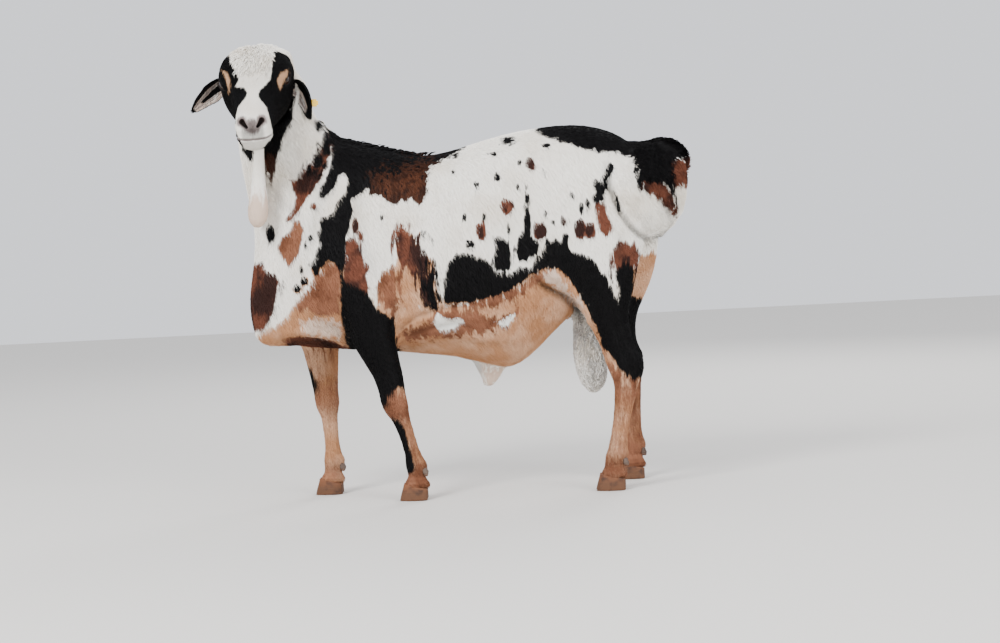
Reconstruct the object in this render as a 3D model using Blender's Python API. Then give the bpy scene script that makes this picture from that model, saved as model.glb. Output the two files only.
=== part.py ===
"""A fat-tailed hair sheep ram, life size, standing with its head turned to its left.

Units are metres and +Z is up. The ram faces -X, and its left side faces -Y. The body, legs and neck
are lofted from sections measured across the animal, fused into one form and then parted with thin
cuts, so that every named part meets the next face to face.
"""
import math

import bmesh
import bpy
from mathutils import Matrix, Vector

GAP = 0.0003                 # clear gap between parts that touch
BODY_VOXEL = 0.007           # grid on which the body's lofts are fused
BODY_TRIANGLES = 6000
BODY_SOFTENING = 20          # rounds of smoothing where muscles run together
TAIL_VOXEL = 0.006
TAIL_TRIANGLES = 900
TAIL_SOFTENING = 5
LEG_SMOOTH_FROM = 0.24       # below this height the legs keep their crisp joints
LEG_SMOOTH_TO = 0.38         # above this height the body is smoothed in full
LEG_SHARE = 0.12             # how much of the smoothing reaches the lower legs
HEAD_SIDES = 26

# Trunk, as upright sections from chest to rump: x, top, bottom, half width, squareness
TRUNK = [
    (-0.360, 0.680, 0.375, 0.080, 2.1),
    (-0.320, 0.735, 0.338, 0.112, 2.1),
    (-0.260, 0.772, 0.328, 0.130, 2.1),
    (-0.200, 0.779, 0.322, 0.138, 2.1),
    (-0.150, 0.768, 0.318, 0.140, 2.1),
    (-0.090, 0.752, 0.312, 0.152, 2.2),
    (-0.030, 0.737, 0.304, 0.166, 2.3),
    (0.030, 0.740, 0.296, 0.176, 2.4),
    (0.090, 0.755, 0.280, 0.181, 2.4),
    (0.150, 0.770, 0.266, 0.174, 2.4),
    (0.200, 0.779, 0.292, 0.160, 2.5),
    (0.250, 0.785, 0.338, 0.146, 2.5),
    (0.310, 0.787, 0.390, 0.138, 2.4),
    (0.370, 0.777, 0.430, 0.124, 2.3),
    (0.420, 0.754, 0.470, 0.106, 2.2),
    (0.460, 0.715, 0.530, 0.074, 2.0),
]

# Forechest and neck, as level sections from brisket to nape: z, front x, rear x, middle y, half width
NECK = [
    (0.338, -0.368, -0.230, 0.000, 0.060),
    (0.352, -0.394, -0.220, 0.000, 0.078),
    (0.385, -0.404, -0.210, 0.000, 0.092),
    (0.440, -0.407, -0.190, 0.000, 0.104),
    (0.500, -0.397, -0.180, 0.000, 0.112),
    (0.560, -0.389, -0.165, 0.000, 0.112),
    (0.620, -0.391, -0.150, 0.000, 0.104),
    (0.680, -0.401, -0.150, 0.000, 0.093),
    (0.740, -0.410, -0.165, -0.002, 0.083),
    (0.790, -0.413, -0.207, -0.006, 0.075),
    (0.835, -0.413, -0.243, -0.012, 0.069),
    (0.880, -0.409, -0.252, -0.020, 0.064),
    (0.920, -0.398, -0.263, -0.028, 0.056),
    (0.945, -0.380, -0.282, -0.030, 0.044),
]

# Legs, as level sections from the top down: z, front x, rear x, distance from the midline, half width
NEAR_FORELEG = [
    (0.560, -0.280, -0.130, 0.090, 0.050),
    (0.500, -0.252, -0.098, 0.099, 0.050),
    (0.440, -0.226, -0.088, 0.102, 0.048),
    (0.397, -0.204, -0.089, 0.102, 0.044),
    (0.333, -0.179, -0.087, 0.100, 0.037),
    (0.265, -0.141, -0.076, 0.098, 0.029),
    (0.225, -0.130, -0.073, 0.098, 0.028),
    (0.195, -0.120, -0.070, 0.098, 0.026),
    (0.160, -0.102, -0.062, 0.098, 0.0188),
    (0.110, -0.086, -0.050, 0.098, 0.0170),
    (0.078, -0.081, -0.039, 0.098, 0.0200),
    (0.058, -0.079, -0.038, 0.098, 0.0200),
    (0.040, -0.082, -0.037, 0.098, 0.0225),
    (0.016, -0.086, -0.038, 0.098, 0.0230),
]
FAR_FORELEG = [
    (0.560, -0.355, -0.200, 0.086, 0.050),
    (0.500, -0.350, -0.203, 0.090, 0.050),
    (0.440, -0.340, -0.207, 0.090, 0.048),
    (0.397, -0.328, -0.213, 0.088, 0.044),
    (0.333, -0.310, -0.223, 0.084, 0.037),
    (0.265, -0.293, -0.229, 0.080, 0.029),
    (0.225, -0.286, -0.231, 0.080, 0.028),
    (0.195, -0.280, -0.232, 0.080, 0.026),
    (0.160, -0.273, -0.234, 0.080, 0.0188),
    (0.110, -0.269, -0.233, 0.080, 0.0170),
    (0.078, -0.270, -0.228, 0.080, 0.0200),
    (0.058, -0.272, -0.229, 0.080, 0.0200),
    (0.040, -0.277, -0.231, 0.080, 0.0225),
    (0.016, -0.281, -0.233, 0.080, 0.0230),
]
NEAR_HINDLEG = [
    (0.700, 0.250, 0.430, 0.055, 0.060),
    (0.640, 0.248, 0.448, 0.074, 0.060),
    (0.560, 0.243, 0.460, 0.084, 0.061),
    (0.480, 0.256, 0.438, 0.090, 0.056),
    (0.420, 0.284, 0.423, 0.092, 0.046),
    (0.370, 0.315, 0.411, 0.093, 0.037),
    (0.320, 0.339, 0.417, 0.093, 0.030),
    (0.278, 0.353, 0.433, 0.092, 0.0265),
    (0.250, 0.364, 0.437, 0.092, 0.0260),
    (0.215, 0.371, 0.423, 0.092, 0.0235),
    (0.160, 0.365, 0.407, 0.092, 0.0180),
    (0.110, 0.356, 0.397, 0.092, 0.0172),
    (0.080, 0.349, 0.393, 0.092, 0.0205),
    (0.058, 0.342, 0.388, 0.092, 0.0205),
    (0.040, 0.337, 0.385, 0.092, 0.0225),
    (0.016, 0.334, 0.384, 0.092, 0.0230),
]
FAR_HINDLEG = [
    (0.700, 0.275, 0.440, 0.055, 0.060),
    (0.640, 0.275, 0.470, 0.074, 0.060),
    (0.560, 0.275, 0.496, 0.084, 0.061),
    (0.480, 0.288, 0.489, 0.090, 0.056),
    (0.420, 0.310, 0.468, 0.092, 0.046),
    (0.370, 0.335, 0.443, 0.093, 0.037),
    (0.320, 0.357, 0.436, 0.093, 0.030),
    (0.278, 0.371, 0.446, 0.092, 0.0265),
    (0.250, 0.382, 0.449, 0.092, 0.0260),
    (0.215, 0.392, 0.443, 0.092, 0.0235),
    (0.160, 0.399, 0.441, 0.092, 0.0180),
    (0.110, 0.400, 0.440, 0.092, 0.0172),
    (0.080, 0.398, 0.443, 0.092, 0.0205),
    (0.058, 0.394, 0.441, 0.092, 0.0205),
    (0.040, 0.390, 0.439, 0.092, 0.0225),
    (0.016, 0.387, 0.438, 0.092, 0.0230),
]
# Height at which each leg parts from the trunk, and how the block that parts it off lies round it
FORELEG_TOP = 0.455
HINDLEG_TOP = 0.575
ZONE_MARGIN = 0.012
ZONE_OUTSIDE = 0.32
ZONE_FOOT = -0.03

# Hooves: two claws on each foot, cut level at the sole and sloping at the coronet
CLAW_TOE = 0.012             # how far the toe stands ahead of the pastern's front
CLAW_HEEL = 0.002
CLAW_WIDTH = 0.0275
# height, how far the front leans back, share of the width
CLAW_SECTIONS = [(0.0, 0.0, 1.0), (0.012, 0.003, 0.97), (0.028, 0.008, 0.90), (0.046, 0.013, 0.80)]
CLAW_SIDES = 14
CLAW_TAPER = 0.22            # how much narrower the toe and wider the heel
CLEFT = 0.0030               # gap between the two claws of a foot
CORONET_FRONT = 0.040
CORONET_REAR = 0.024
DEWCLAW_HEIGHT = 0.066
DEWCLAW_LENGTH = 0.013
DEWCLAW_SPREAD = 0.009       # distance of each from the middle of the leg
CUT_BOX = 0.12               # size of the blocks that trim leg ends and claws

# The neck parts from the trunk on a plane through these points, seen from the side
NECK_CUT_LOW = (-0.440, 0.0, 0.575)
NECK_CUT_HIGH = (-0.165, 0.0, 0.800)

# Head: a point of the poll, the way the face points, and sections along it.
# u runs from poll to nose, v to the animal's left and w up from the face.
POLL = (-0.358, -0.030, 0.946)
FACE_DOWN = math.radians(38.0)
FACE_TURN = math.radians(1.7)
FACE_TILT = math.radians(2.5)
# u, top, bottom, half width, height of the widest place, squareness above, squareness below
HEAD = [
    (-0.030, 0.018, -0.035, 0.020, 0.000, 2.0, 2.0),
    (-0.018, 0.045, -0.052, 0.045, 0.000, 2.0, 2.0),
    (0.006, 0.062, -0.062, 0.062, 0.010, 2.0, 2.0),
    (0.035, 0.0715, -0.072, 0.072, 0.016, 2.1, 2.3),
    (0.065, 0.0735, -0.079, 0.076, 0.018, 2.2, 2.7),
    (0.095, 0.0705, -0.081, 0.076, 0.014, 2.4, 3.0),
    (0.120, 0.0660, -0.077, 0.069, 0.000, 2.4, 2.9),
    (0.145, 0.0615, -0.068, 0.058, -0.008, 2.3, 2.6),
    (0.175, 0.0555, -0.059, 0.0470, -0.010, 2.3, 2.3),
    (0.205, 0.0475, -0.051, 0.0410, -0.010, 2.3, 2.2),
    (0.228, 0.0385, -0.049, 0.0405, -0.009, 2.4, 2.4),
    (0.246, 0.0270, -0.047, 0.0395, -0.008, 2.5, 2.5),
    (0.258, 0.0160, -0.042, 0.0340, -0.008, 2.4, 2.4),
    (0.266, 0.0050, -0.031, 0.0230, -0.010, 2.2, 2.2),
    (0.269, -0.0040, -0.020, 0.0100, -0.012, 2.0, 2.0),
]
# Swellings and hollows of the face: u, v, w, reach, how far it stands out
HEAD_FORMS = [
    (0.098, 0.066, 0.038, 0.022, 0.0060),     # brow over the eye
    (0.076, 0.062, -0.034, 0.038, 0.0075),    # cheek muscle
    (0.128, 0.056, 0.018, 0.018, -0.0040),    # hollow before the eye
    (0.160, 0.040, -0.014, 0.024, 0.0030),    # ridge of the upper jaw
    (0.190, 0.036, -0.036, 0.022, -0.0030),   # hollow behind the lips
    (0.238, 0.026, 0.016, 0.014, 0.0035),     # wing of the nostril
    (0.247, 0.024, -0.032, 0.014, 0.0025),    # lower lip
]
EYE = (0.100, 0.0625, 0.024)
EYE_RADIUS = 0.0145
LID_THICKNESS = 0.0030
LID_LENGTH = 0.0250
LID_OPENING = 0.0140
LID_DEPTH = 0.030            # how far the cut between the lids reaches out
NOSTRIL_OUTER = (0.2460, 0.0240, 0.0240)
NOSTRIL_INNER = (0.2655, 0.0085, 0.0030)
MOUTH_CORNER = (0.208, -0.0290)
MOUTH_SIDE = (0.236, -0.0205)
MOUTH_MIDDLE = (0.255, -0.0145)
MOUTH_FRONT = (0.280, -0.0105)
MOUTH_SLIT = 0.0012

# Ears: the middle line from root to tip, the way the cup opens, and sections along it
EAR_RIGHT = [
    (-0.412, -0.052, 0.912), (-0.445, -0.058, 0.897), (-0.480, -0.064, 0.874), (-0.509, -0.068, 0.850),
]
EAR_RIGHT_OPENS = (0.10, -0.90, -0.42)
EAR_LEFT = [
    (-0.298, -0.052, 0.908), (-0.264, -0.060, 0.900), (-0.251, -0.066, 0.866), (-0.248, -0.068, 0.824),
]
EAR_LEFT_OPENS = (-0.62, -0.76, -0.20)
# share of the length, half width along the curve, half angle of the curl
EAR_SECTIONS = [
    (0.00, 0.024, 2.30),
    (0.25, 0.029, 1.60),
    (0.55, 0.026, 1.05),
    (0.80, 0.016, 0.80),
    (0.93, 0.009, 0.60),
    (1.00, 0.003, 0.40),
]
EAR_THICKNESS = 0.0032
TAG_WIDTH = 0.020
TAG_HEIGHT = 0.017
TAG_THICKNESS = 0.0018
TAG_CORNER = 0.003
TAG_PLACE = (-0.2405, -0.066, 0.856)
TAG_TURN = math.radians(24)

# Wattles: x at the root, x at the bulb, y, top, bottom, bulb radius
WATTLES = {
    "wattle_left": (-0.3500, -0.3645, -0.134, 0.806, 0.596, 0.0205),
    "wattle_right": (-0.3560, -0.3680, -0.0935, 0.822, 0.604, 0.0170),
}
# share of the way down, share of the bulb's radius
WATTLE_SECTIONS = [
    (0.00, 0.52), (0.15, 0.44), (0.35, 0.50), (0.55, 0.66), (0.72, 0.90), (0.83, 1.00),
    (0.92, 0.88), (0.98, 0.52), (1.00, 0.16),
]

# Fat tail: one lobe on each side, as level sections: z, front x, rear x, middle y, half width
TAIL_LOBE = [
    (0.738, 0.468, 0.505, 0.020, 0.022),
    (0.724, 0.430, 0.528, 0.034, 0.038),
    (0.698, 0.394, 0.546, 0.050, 0.056),
    (0.662, 0.374, 0.551, 0.062, 0.069),
    (0.625, 0.372, 0.549, 0.067, 0.073),
    (0.590, 0.384, 0.541, 0.066, 0.068),
    (0.560, 0.408, 0.521, 0.062, 0.055),
    (0.540, 0.434, 0.498, 0.058, 0.036),
    (0.530, 0.455, 0.480, 0.056, 0.015),
]
TAIL_ROOT = [(0.400, 0.700, 0.052), (0.455, 0.700, 0.045), (0.500, 0.694, 0.040)]
TAIL_TIP = [
    (0.468, 0.0, 0.724, 0.020),
    (0.500, -0.003, 0.732, 0.0170),
    (0.528, -0.006, 0.727, 0.0160),
    (0.545, -0.008, 0.708, 0.0140),
    (0.550, -0.009, 0.684, 0.0110),
    (0.547, -0.010, 0.664, 0.0040),
]

# Scrotum and sheath, as level sections: z, front x, rear x, middle y, half width
SCROTUM = [
    (0.430, 0.305, 0.350, 0.0, 0.022),
    (0.385, 0.297, 0.350, 0.0, 0.028),
    (0.330, 0.294, 0.353, 0.0, 0.033),
    (0.290, 0.293, 0.356, 0.0, 0.040),
    (0.255, 0.297, 0.361, 0.0, 0.045),
    (0.228, 0.306, 0.357, 0.0, 0.041),
    (0.212, 0.317, 0.346, 0.0, 0.029),
    (0.205, 0.327, 0.336, 0.0, 0.010),
]
SHEATH = [
    (0.300, 0.064, 0.150, 0.0, 0.030),
    (0.268, 0.078, 0.142, 0.0, 0.023),
    (0.248, 0.088, 0.130, 0.0, 0.017),
    (0.236, 0.091, 0.120, 0.0, 0.013),
    (0.228, 0.094, 0.112, 0.0, 0.009),
]

# Muscles and bones that swell the trunk: middle, radii, lean about Y in degrees, mirrored to both sides
MUSCLES = [
    ((-0.245, 0.092, 0.560), (0.070, 0.046, 0.150), 14.0),    # shoulder blade
    ((-0.330, 0.068, 0.485), (0.056, 0.042, 0.075), 0.0),     # point of the shoulder
    ((0.325, 0.082, 0.600), (0.100, 0.060, 0.120), 0.0),      # haunch
    ((0.292, 0.092, 0.712), (0.060, 0.032, 0.040), 20.0),      # point of the hip
    ((0.250, 0.080, 0.450), (0.062, 0.038, 0.055), -35.0),    # fold of the flank
]

COATS = {
    "white_coat": ((0.80, 0.76, 0.69), 0.75),
    "tan_coat": ((0.46, 0.22, 0.10), 0.75),
    "black_coat": ((0.015, 0.012, 0.012), 0.60),
    "bare_skin": ((0.62, 0.43, 0.36), 0.65),
    "eyeball": ((0.035, 0.018, 0.008), 0.10),
    "horn": ((0.060, 0.042, 0.030), 0.45),
    "tag_plastic": ((0.85, 0.55, 0.03), 0.40),
}


def clear_scene():
    """Start from an empty scene."""
    for thing in list(bpy.data.objects):
        bpy.data.objects.remove(thing, do_unlink=True)


def add_object(name, form):
    """Turn a bmesh into an object with its faces pointing out."""
    bmesh.ops.recalc_face_normals(form, faces=form.faces[:])
    mesh = bpy.data.meshes.new(name)
    form.to_mesh(mesh)
    form.free()
    thing = bpy.data.objects.new(name, mesh)
    bpy.context.scene.collection.objects.link(thing)
    return thing


def paint(thing, coat):
    """Give an object its own plain material."""
    colour, roughness = COATS[coat]
    finish = bpy.data.materials.new(thing.name + "_" + coat)
    finish.use_nodes = True
    shader = finish.node_tree.nodes["Principled BSDF"]
    shader.inputs["Base Color"].default_value = (*colour, 1.0)
    shader.inputs["Roughness"].default_value = roughness
    shader.inputs["Metallic"].default_value = 0.0
    thing.data.materials.clear()
    thing.data.materials.append(finish)


def smooth_rows(rows, steps):
    """Rows of numbers with steps rows, on a smooth curve, for each gap between two given ones."""
    rows = [tuple(row) for row in rows]
    first = tuple(2 * a - b for a, b in zip(rows[0], rows[1]))
    last = tuple(2 * a - b for a, b in zip(rows[-1], rows[-2]))
    padded = [first] + rows + [last]
    curve = []
    for index in range(len(rows) - 1):
        before, start, end, after = padded[index:index + 4]
        for step in range(steps):
            t = step / steps
            curve.append(tuple(
                0.5 * (2 * b + (c - a) * t + (2 * a - 5 * b + 4 * c - d) * t ** 2
                       + (3 * b - a - 3 * c + d) * t ** 3)
                for a, b, c, d in zip(before, start, end, after)
            ))
    curve.append(rows[-1])
    return curve


def value_at(rows, place):
    """Straight-line reading of a table whose first column is the place."""
    for low, high in zip(rows, rows[1:]):
        if place <= high[0]:
            share = (place - low[0]) / (high[0] - low[0])
            return [a + (b - a) * share for a, b in zip(low[1:], high[1:])]
    return list(rows[-1][1:])


def rounded(angle, squareness):
    """Cosine and sine of a rounded square: squareness 2 is a circle, more is squarer."""
    power = 2.0 / squareness
    across = math.copysign(abs(math.cos(angle)) ** power, math.cos(angle))
    along = math.copysign(abs(math.sin(angle)) ** power, math.sin(angle))
    return across, along


def loft(name, rings):
    """A closed skin through rings of points, with a fan of faces at each end."""
    form = bmesh.new()
    loops = [[form.verts.new(point) for point in ring] for ring in rings]
    count = len(loops[0])
    for here, there in zip(loops, loops[1:]):
        for index in range(count):
            after = (index + 1) % count
            form.faces.new((here[index], here[after], there[after], there[index]))
    for ring in (loops[0], loops[-1]):
        middle = form.verts.new(sum((v.co for v in ring), Vector()) / count)
        for index in range(count):
            form.faces.new((ring[index], ring[(index + 1) % count], middle))
    return add_object(name, form)


def level_loft(name, sections, side, sides=20, steps=2, squareness=2.2):
    """A loft through level sections: z, front x, rear x, distance from the midline, half width."""
    rings = []
    for z, front, rear, middle, half in smooth_rows(sections, steps):
        ring = []
        for index in range(sides):
            along, across = rounded(2 * math.pi * index / sides, squareness)
            x = (front + rear) / 2 + along * (rear - front) / 2
            ring.append((x, side * middle + across * half, z))
        rings.append(ring)
    return loft(name, rings)


def trunk_loft():
    """The barrel of the body, a little wider below its middle."""
    rings = []
    sides = 32
    for x, top, bottom, half, squareness in smooth_rows(TRUNK, 2):
        widest = bottom + 0.46 * (top - bottom)
        ring = []
        for index in range(sides):
            across, up = rounded(2 * math.pi * index / sides, squareness)
            reach = top - widest if up > 0 else widest - bottom
            ring.append((x, across * half, widest + up * reach))
        rings.append(ring)
    return loft("trunk", rings)


def ball(name, middle, radii, lean=0.0, rings=12, sides=20):
    """An egg shape with its place in its mesh."""
    form = bmesh.new()
    place = Matrix.Translation(middle) @ Matrix.Rotation(lean, 4, "Y") @ Matrix.Diagonal((*radii, 1.0))
    bmesh.ops.create_uvsphere(form, u_segments=sides, v_segments=rings, radius=1.0, matrix=place)
    return add_object(name, form)


def tube(name, points, sides=12, steps=4):
    """A round tapered tube along points given as x, y, z, radius."""
    rows = smooth_rows(points, steps)
    rings = []
    for index, (x, y, z, radius) in enumerate(rows):
        ahead = Vector(rows[min(index + 1, len(rows) - 1)][:3])
        behind = Vector(rows[max(index - 1, 0)][:3])
        way = (ahead - behind).normalized()
        across = Vector((0, 1, 0))
        over = way.cross(across).normalized()
        across = over.cross(way).normalized()
        ring = []
        for step in range(sides):
            angle = 2 * math.pi * step / sides
            ring.append(Vector((x, y, z)) + radius * (math.cos(angle) * across + math.sin(angle) * over))
        rings.append(ring)
    return loft(name, rings)


def apply_modifiers(thing):
    """Keep the mesh as its modifiers leave it."""
    graph = bpy.context.evaluated_depsgraph_get()
    mesh = bpy.data.meshes.new_from_object(thing.evaluated_get(graph))
    thing.modifiers.clear()
    thing.data = mesh


def combine(thing, others, operation):
    """Boolean of one object with several, which are then removed."""
    for other in others:
        cut = thing.modifiers.new("cut", "BOOLEAN")
        cut.operation = operation
        cut.solver = "EXACT"
        cut.object = other
        apply_modifiers(thing)
    for other in others:
        bpy.data.objects.remove(other, do_unlink=True)
    keep_largest(thing)
    return thing


def fuse(name, things):
    """One closed body from overlapping closed ones, by a single Boolean union on a collection."""
    group = bpy.data.collections.new(name + "_pieces")
    for thing in things[1:]:
        group.objects.link(thing)
    whole = things[0]
    union = whole.modifiers.new("union", "BOOLEAN")
    union.operation = "UNION"
    union.operand_type = "COLLECTION"
    union.collection = group
    union.solver = "EXACT"
    apply_modifiers(whole)
    for thing in things[1:]:
        bpy.data.objects.remove(thing, do_unlink=True)
    bpy.data.collections.remove(group)
    whole.name = name
    keep_largest(whole)
    return whole


def islands(form):
    """Groups of faces that hang together."""
    left = set(form.faces)
    groups = []
    while left:
        group = []
        queue = [left.pop()]
        while queue:
            face = queue.pop()
            group.append(face)
            for edge in face.edges:
                for near in edge.link_faces:
                    if near in left:
                        left.remove(near)
                        queue.append(near)
        groups.append(group)
    return groups


def keep_largest(thing):
    """Drop all but the largest closed surface, and close slivers that a cut leaves."""
    form = bmesh.new()
    form.from_mesh(thing.data)
    groups = islands(form)
    groups.sort(key=lambda group: sum(face.calc_area() for face in group))
    for group in groups[:-1]:
        bmesh.ops.delete(form, geom=group, context="FACES")
    bmesh.ops.dissolve_degenerate(form, dist=0.00005, edges=form.edges[:])
    bmesh.ops.triangulate(form, faces=form.faces[:])
    form.to_mesh(thing.data)
    form.free()


def duplicate(thing, name):
    """A copy with its own mesh."""
    copy = thing.copy()
    copy.data = thing.data.copy()
    copy.name = name
    bpy.context.scene.collection.objects.link(copy)
    return copy


def grown(thing, gap=GAP):
    """A cutter that is the object with every face moved out by the gap."""
    copy = duplicate(thing, thing.name + "_clearance")
    form = bmesh.new()
    form.from_mesh(copy.data)
    bmesh.ops.recalc_face_normals(form, faces=form.faces[:])
    form.normal_update()
    moves = [(vert, vert.normal * gap * min(vert.calc_shell_factor(), 3.0)) for vert in form.verts]
    for vert, move in moves:
        vert.co += move
    form.to_mesh(copy.data)
    form.free()
    return copy


def fused_body():
    """Trunk, neck, legs and muscles run together in one form."""
    pieces = [trunk_loft(), level_loft("neck_core", NECK, 1, sides=28)]
    pieces.append(level_loft("leg_a", NEAR_FORELEG, -1))
    pieces.append(level_loft("leg_b", FAR_FORELEG, 1))
    pieces.append(level_loft("leg_c", NEAR_HINDLEG, -1))
    pieces.append(level_loft("leg_d", FAR_HINDLEG, 1))
    for index, (middle, radii, lean) in enumerate(MUSCLES):
        for side in (-1, 1):
            place = (middle[0], side * middle[1], middle[2])
            pieces.append(ball(f"muscle_{index}_{side}", place, radii, math.radians(lean)))
    return melted("body", pieces, BODY_VOXEL, BODY_SOFTENING, BODY_TRIANGLES)


def melted(name, pieces, voxel, softening, triangles):
    """Overlapping closed pieces run together on a grid, smoothed and thinned to about a number of triangles."""
    form = bmesh.new()
    for piece in pieces:
        form.from_mesh(piece.data)
        bpy.data.objects.remove(piece, do_unlink=True)
    whole = add_object(name, form)
    grid = whole.modifiers.new("grid", "REMESH")
    grid.mode = "VOXEL"
    grid.voxel_size = voxel
    apply_modifiers(whole)
    strength = whole.vertex_groups.new(name="strength")
    for vert in whole.data.vertices:
        share = (vert.co.z - LEG_SMOOTH_FROM) / (LEG_SMOOTH_TO - LEG_SMOOTH_FROM)
        strength.add([vert.index], min(max(share, LEG_SHARE), 1.0), "REPLACE")
    soften = whole.modifiers.new("soften", "SMOOTH")
    soften.factor = 0.6
    soften.iterations = softening
    soften.vertex_group = "strength"
    apply_modifiers(whole)
    whole.data.calc_loop_triangles()
    thin = whole.modifiers.new("thin", "DECIMATE")
    thin.ratio = triangles / len(whole.data.loop_triangles)
    apply_modifiers(whole)
    return whole


def head_frame():
    """Matrix from face coordinates u, v, w to the world."""
    ahead = Vector((
        math.cos(FACE_DOWN) * math.sin(FACE_TURN),
        -math.cos(FACE_DOWN) * math.cos(FACE_TURN),
        -math.sin(FACE_DOWN),
    ))
    left = Vector((math.cos(FACE_TURN), math.sin(FACE_TURN), 0.0))
    left.rotate(Matrix.Rotation(FACE_TILT, 3, ahead))
    up = ahead.cross(left)
    frame = Matrix((ahead, left, up)).transposed().to_4x4()
    frame.translation = Vector(POLL)
    return frame


def head_loft(frame):
    """The head as sections along the face, with its swellings and hollows."""
    rings = []
    for u, top, bottom, half, widest, above, below in smooth_rows(HEAD, 3):
        ring = []
        for index in range(HEAD_SIDES):
            angle = 2 * math.pi * (index + 0.5) / HEAD_SIDES
            across, up = rounded(angle, above if math.sin(angle) > 0 else below)
            reach = top - widest if up > 0 else widest - bottom
            ring.append(Vector((u, across * half, widest + up * reach)))
        rings.append(ring)
    head = loft("head", rings)
    form = bmesh.new()
    form.from_mesh(head.data)
    form.normal_update()
    for vert in form.verts:
        push = 0.0
        for u, v, w, reach, height in HEAD_FORMS:
            away = (vert.co - Vector((u, math.copysign(v, vert.co.y), w))).length / reach
            push += height * math.exp(-away * away)
        vert.co += vert.normal * push
    form.to_mesh(head.data)
    form.free()
    head.data.transform(frame)
    return head


def eye_axis(side):
    """The way an eye looks, in face coordinates."""
    return Vector((0.42, side * 0.86, 0.20)).normalized()


def almond(side, frame):
    """A cutter as wide as the opening between the lids, from the eye's middle outwards."""
    look = eye_axis(side)
    along = (Vector((0.90, 0.0, -0.30)) - look * look.dot(Vector((0.90, 0.0, -0.30)))).normalized()
    over = look.cross(along)
    rings = []
    middle = Vector((EYE[0], side * EYE[1], EYE[2]))
    for depth in (0.0, LID_DEPTH):
        ring = []
        for index in range(16):
            angle = 2 * math.pi * index / 16
            run = math.cos(angle)
            rise = math.copysign((1.0 - run * run) ** 0.7, math.sin(angle))
            place = middle + look * depth
            ring.append(place + along * run * LID_LENGTH / 2 + over * rise * LID_OPENING / 2)
        rings.append(ring)
    cutter = loft("lid_opening", rings)
    cutter.data.transform(frame)
    return cutter


def eyeball(side, frame, name):
    """An eye as a ball, deep in the head."""
    middle = frame @ Vector((EYE[0], side * EYE[1], EYE[2]))
    return ball(name, middle, (EYE_RADIUS,) * 3, rings=9, sides=14)


def nostril(side, frame):
    """A slanting slot in the side of the nose."""
    outer = Vector((NOSTRIL_OUTER[0], side * NOSTRIL_OUTER[1], NOSTRIL_OUTER[2]))
    inner = Vector((NOSTRIL_INNER[0], side * NOSTRIL_INNER[1], NOSTRIL_INNER[2]))
    way = inner - outer
    form = bmesh.new()
    turn = way.to_track_quat("X", "Z").to_matrix().to_4x4()
    place = Matrix.Translation((outer + inner) / 2) @ turn
    place = place @ Matrix.Diagonal((way.length / 2, 0.0040, 0.0075, 1.0))
    bmesh.ops.create_uvsphere(form, u_segments=10, v_segments=8, radius=1.0, matrix=frame @ place)
    return add_object("nostril", form)


def mouth_slit(frame):
    """A thin bent plate that parts the lips back to the corners of the mouth."""
    half = MOUTH_SLIT / 2
    line = [MOUTH_CORNER, MOUTH_SIDE, MOUTH_MIDDLE, MOUTH_FRONT]
    rings = []
    for u, w in line:
        ring = [(u, v, w + rise) for v, rise in ((-0.06, -half), (0.06, -half), (0.06, half), (-0.06, half))]
        rings.append([Vector(point) for point in ring])
    cutter = loft("mouth_line", rings)
    cutter.data.transform(frame)
    return cutter


def make_head(frame):
    """Head with lids, eye sockets, nostrils and mouth, and the two eyes."""
    head = head_loft(frame)
    lids = []
    for side in (-1, 1):
        lids.append(ball("lid", frame @ Vector((EYE[0], side * EYE[1], EYE[2])),
                         (EYE_RADIUS + LID_THICKNESS,) * 3, rings=10, sides=16))
    head = fuse("head", [head] + lids)
    cutters = []
    for side in (-1, 1):
        cutters.append(almond(side, frame))
        cutters.append(nostril(side, frame))
    cutters.append(mouth_slit(frame))
    eyes = [eyeball(1, frame, "eye_left"), eyeball(-1, frame, "eye_right")]
    for eye in eyes:
        cutters.append(grown(eye))
    combine(head, cutters, "DIFFERENCE")
    return head, eyes


def ear(name, line, opens):
    """A leaf-shaped cup, rolled at its root and nearly flat at its tip."""
    lengthwise = 11
    crosswise = 9
    points = [Vector(row) for row in smooth_rows(line, 6)]
    facing = Vector(opens)
    form = bmesh.new()
    grid = []
    for row in range(lengthwise):
        share = row / (lengthwise - 1)
        index = share * (len(points) - 1)
        low = min(int(index), len(points) - 2)
        place = points[low].lerp(points[low + 1], index - low)
        way = (points[min(low + 2, len(points) - 1)] - points[max(low - 1, 0)]).normalized()
        inward = (facing - way * facing.dot(way)).normalized()
        side = way.cross(inward)
        half, curl = value_at(EAR_SECTIONS, share)
        radius = half / curl
        grid.append([])
        for step in range(crosswise):
            angle = curl * (2 * step / (crosswise - 1) - 1)
            offset = side * math.sin(angle) + inward * (1 - math.cos(angle))
            grid[-1].append(form.verts.new(place + offset * radius))
    for low, high in zip(grid, grid[1:]):
        for step in range(crosswise - 1):
            form.faces.new((low[step], low[step + 1], high[step + 1], high[step]))
    cup = add_object(name, form)
    wall = cup.modifiers.new("wall", "SOLIDIFY")
    wall.thickness = EAR_THICKNESS
    wall.offset = 0.0
    wall.use_even_offset = True
    apply_modifiers(cup)
    return cup


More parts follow.
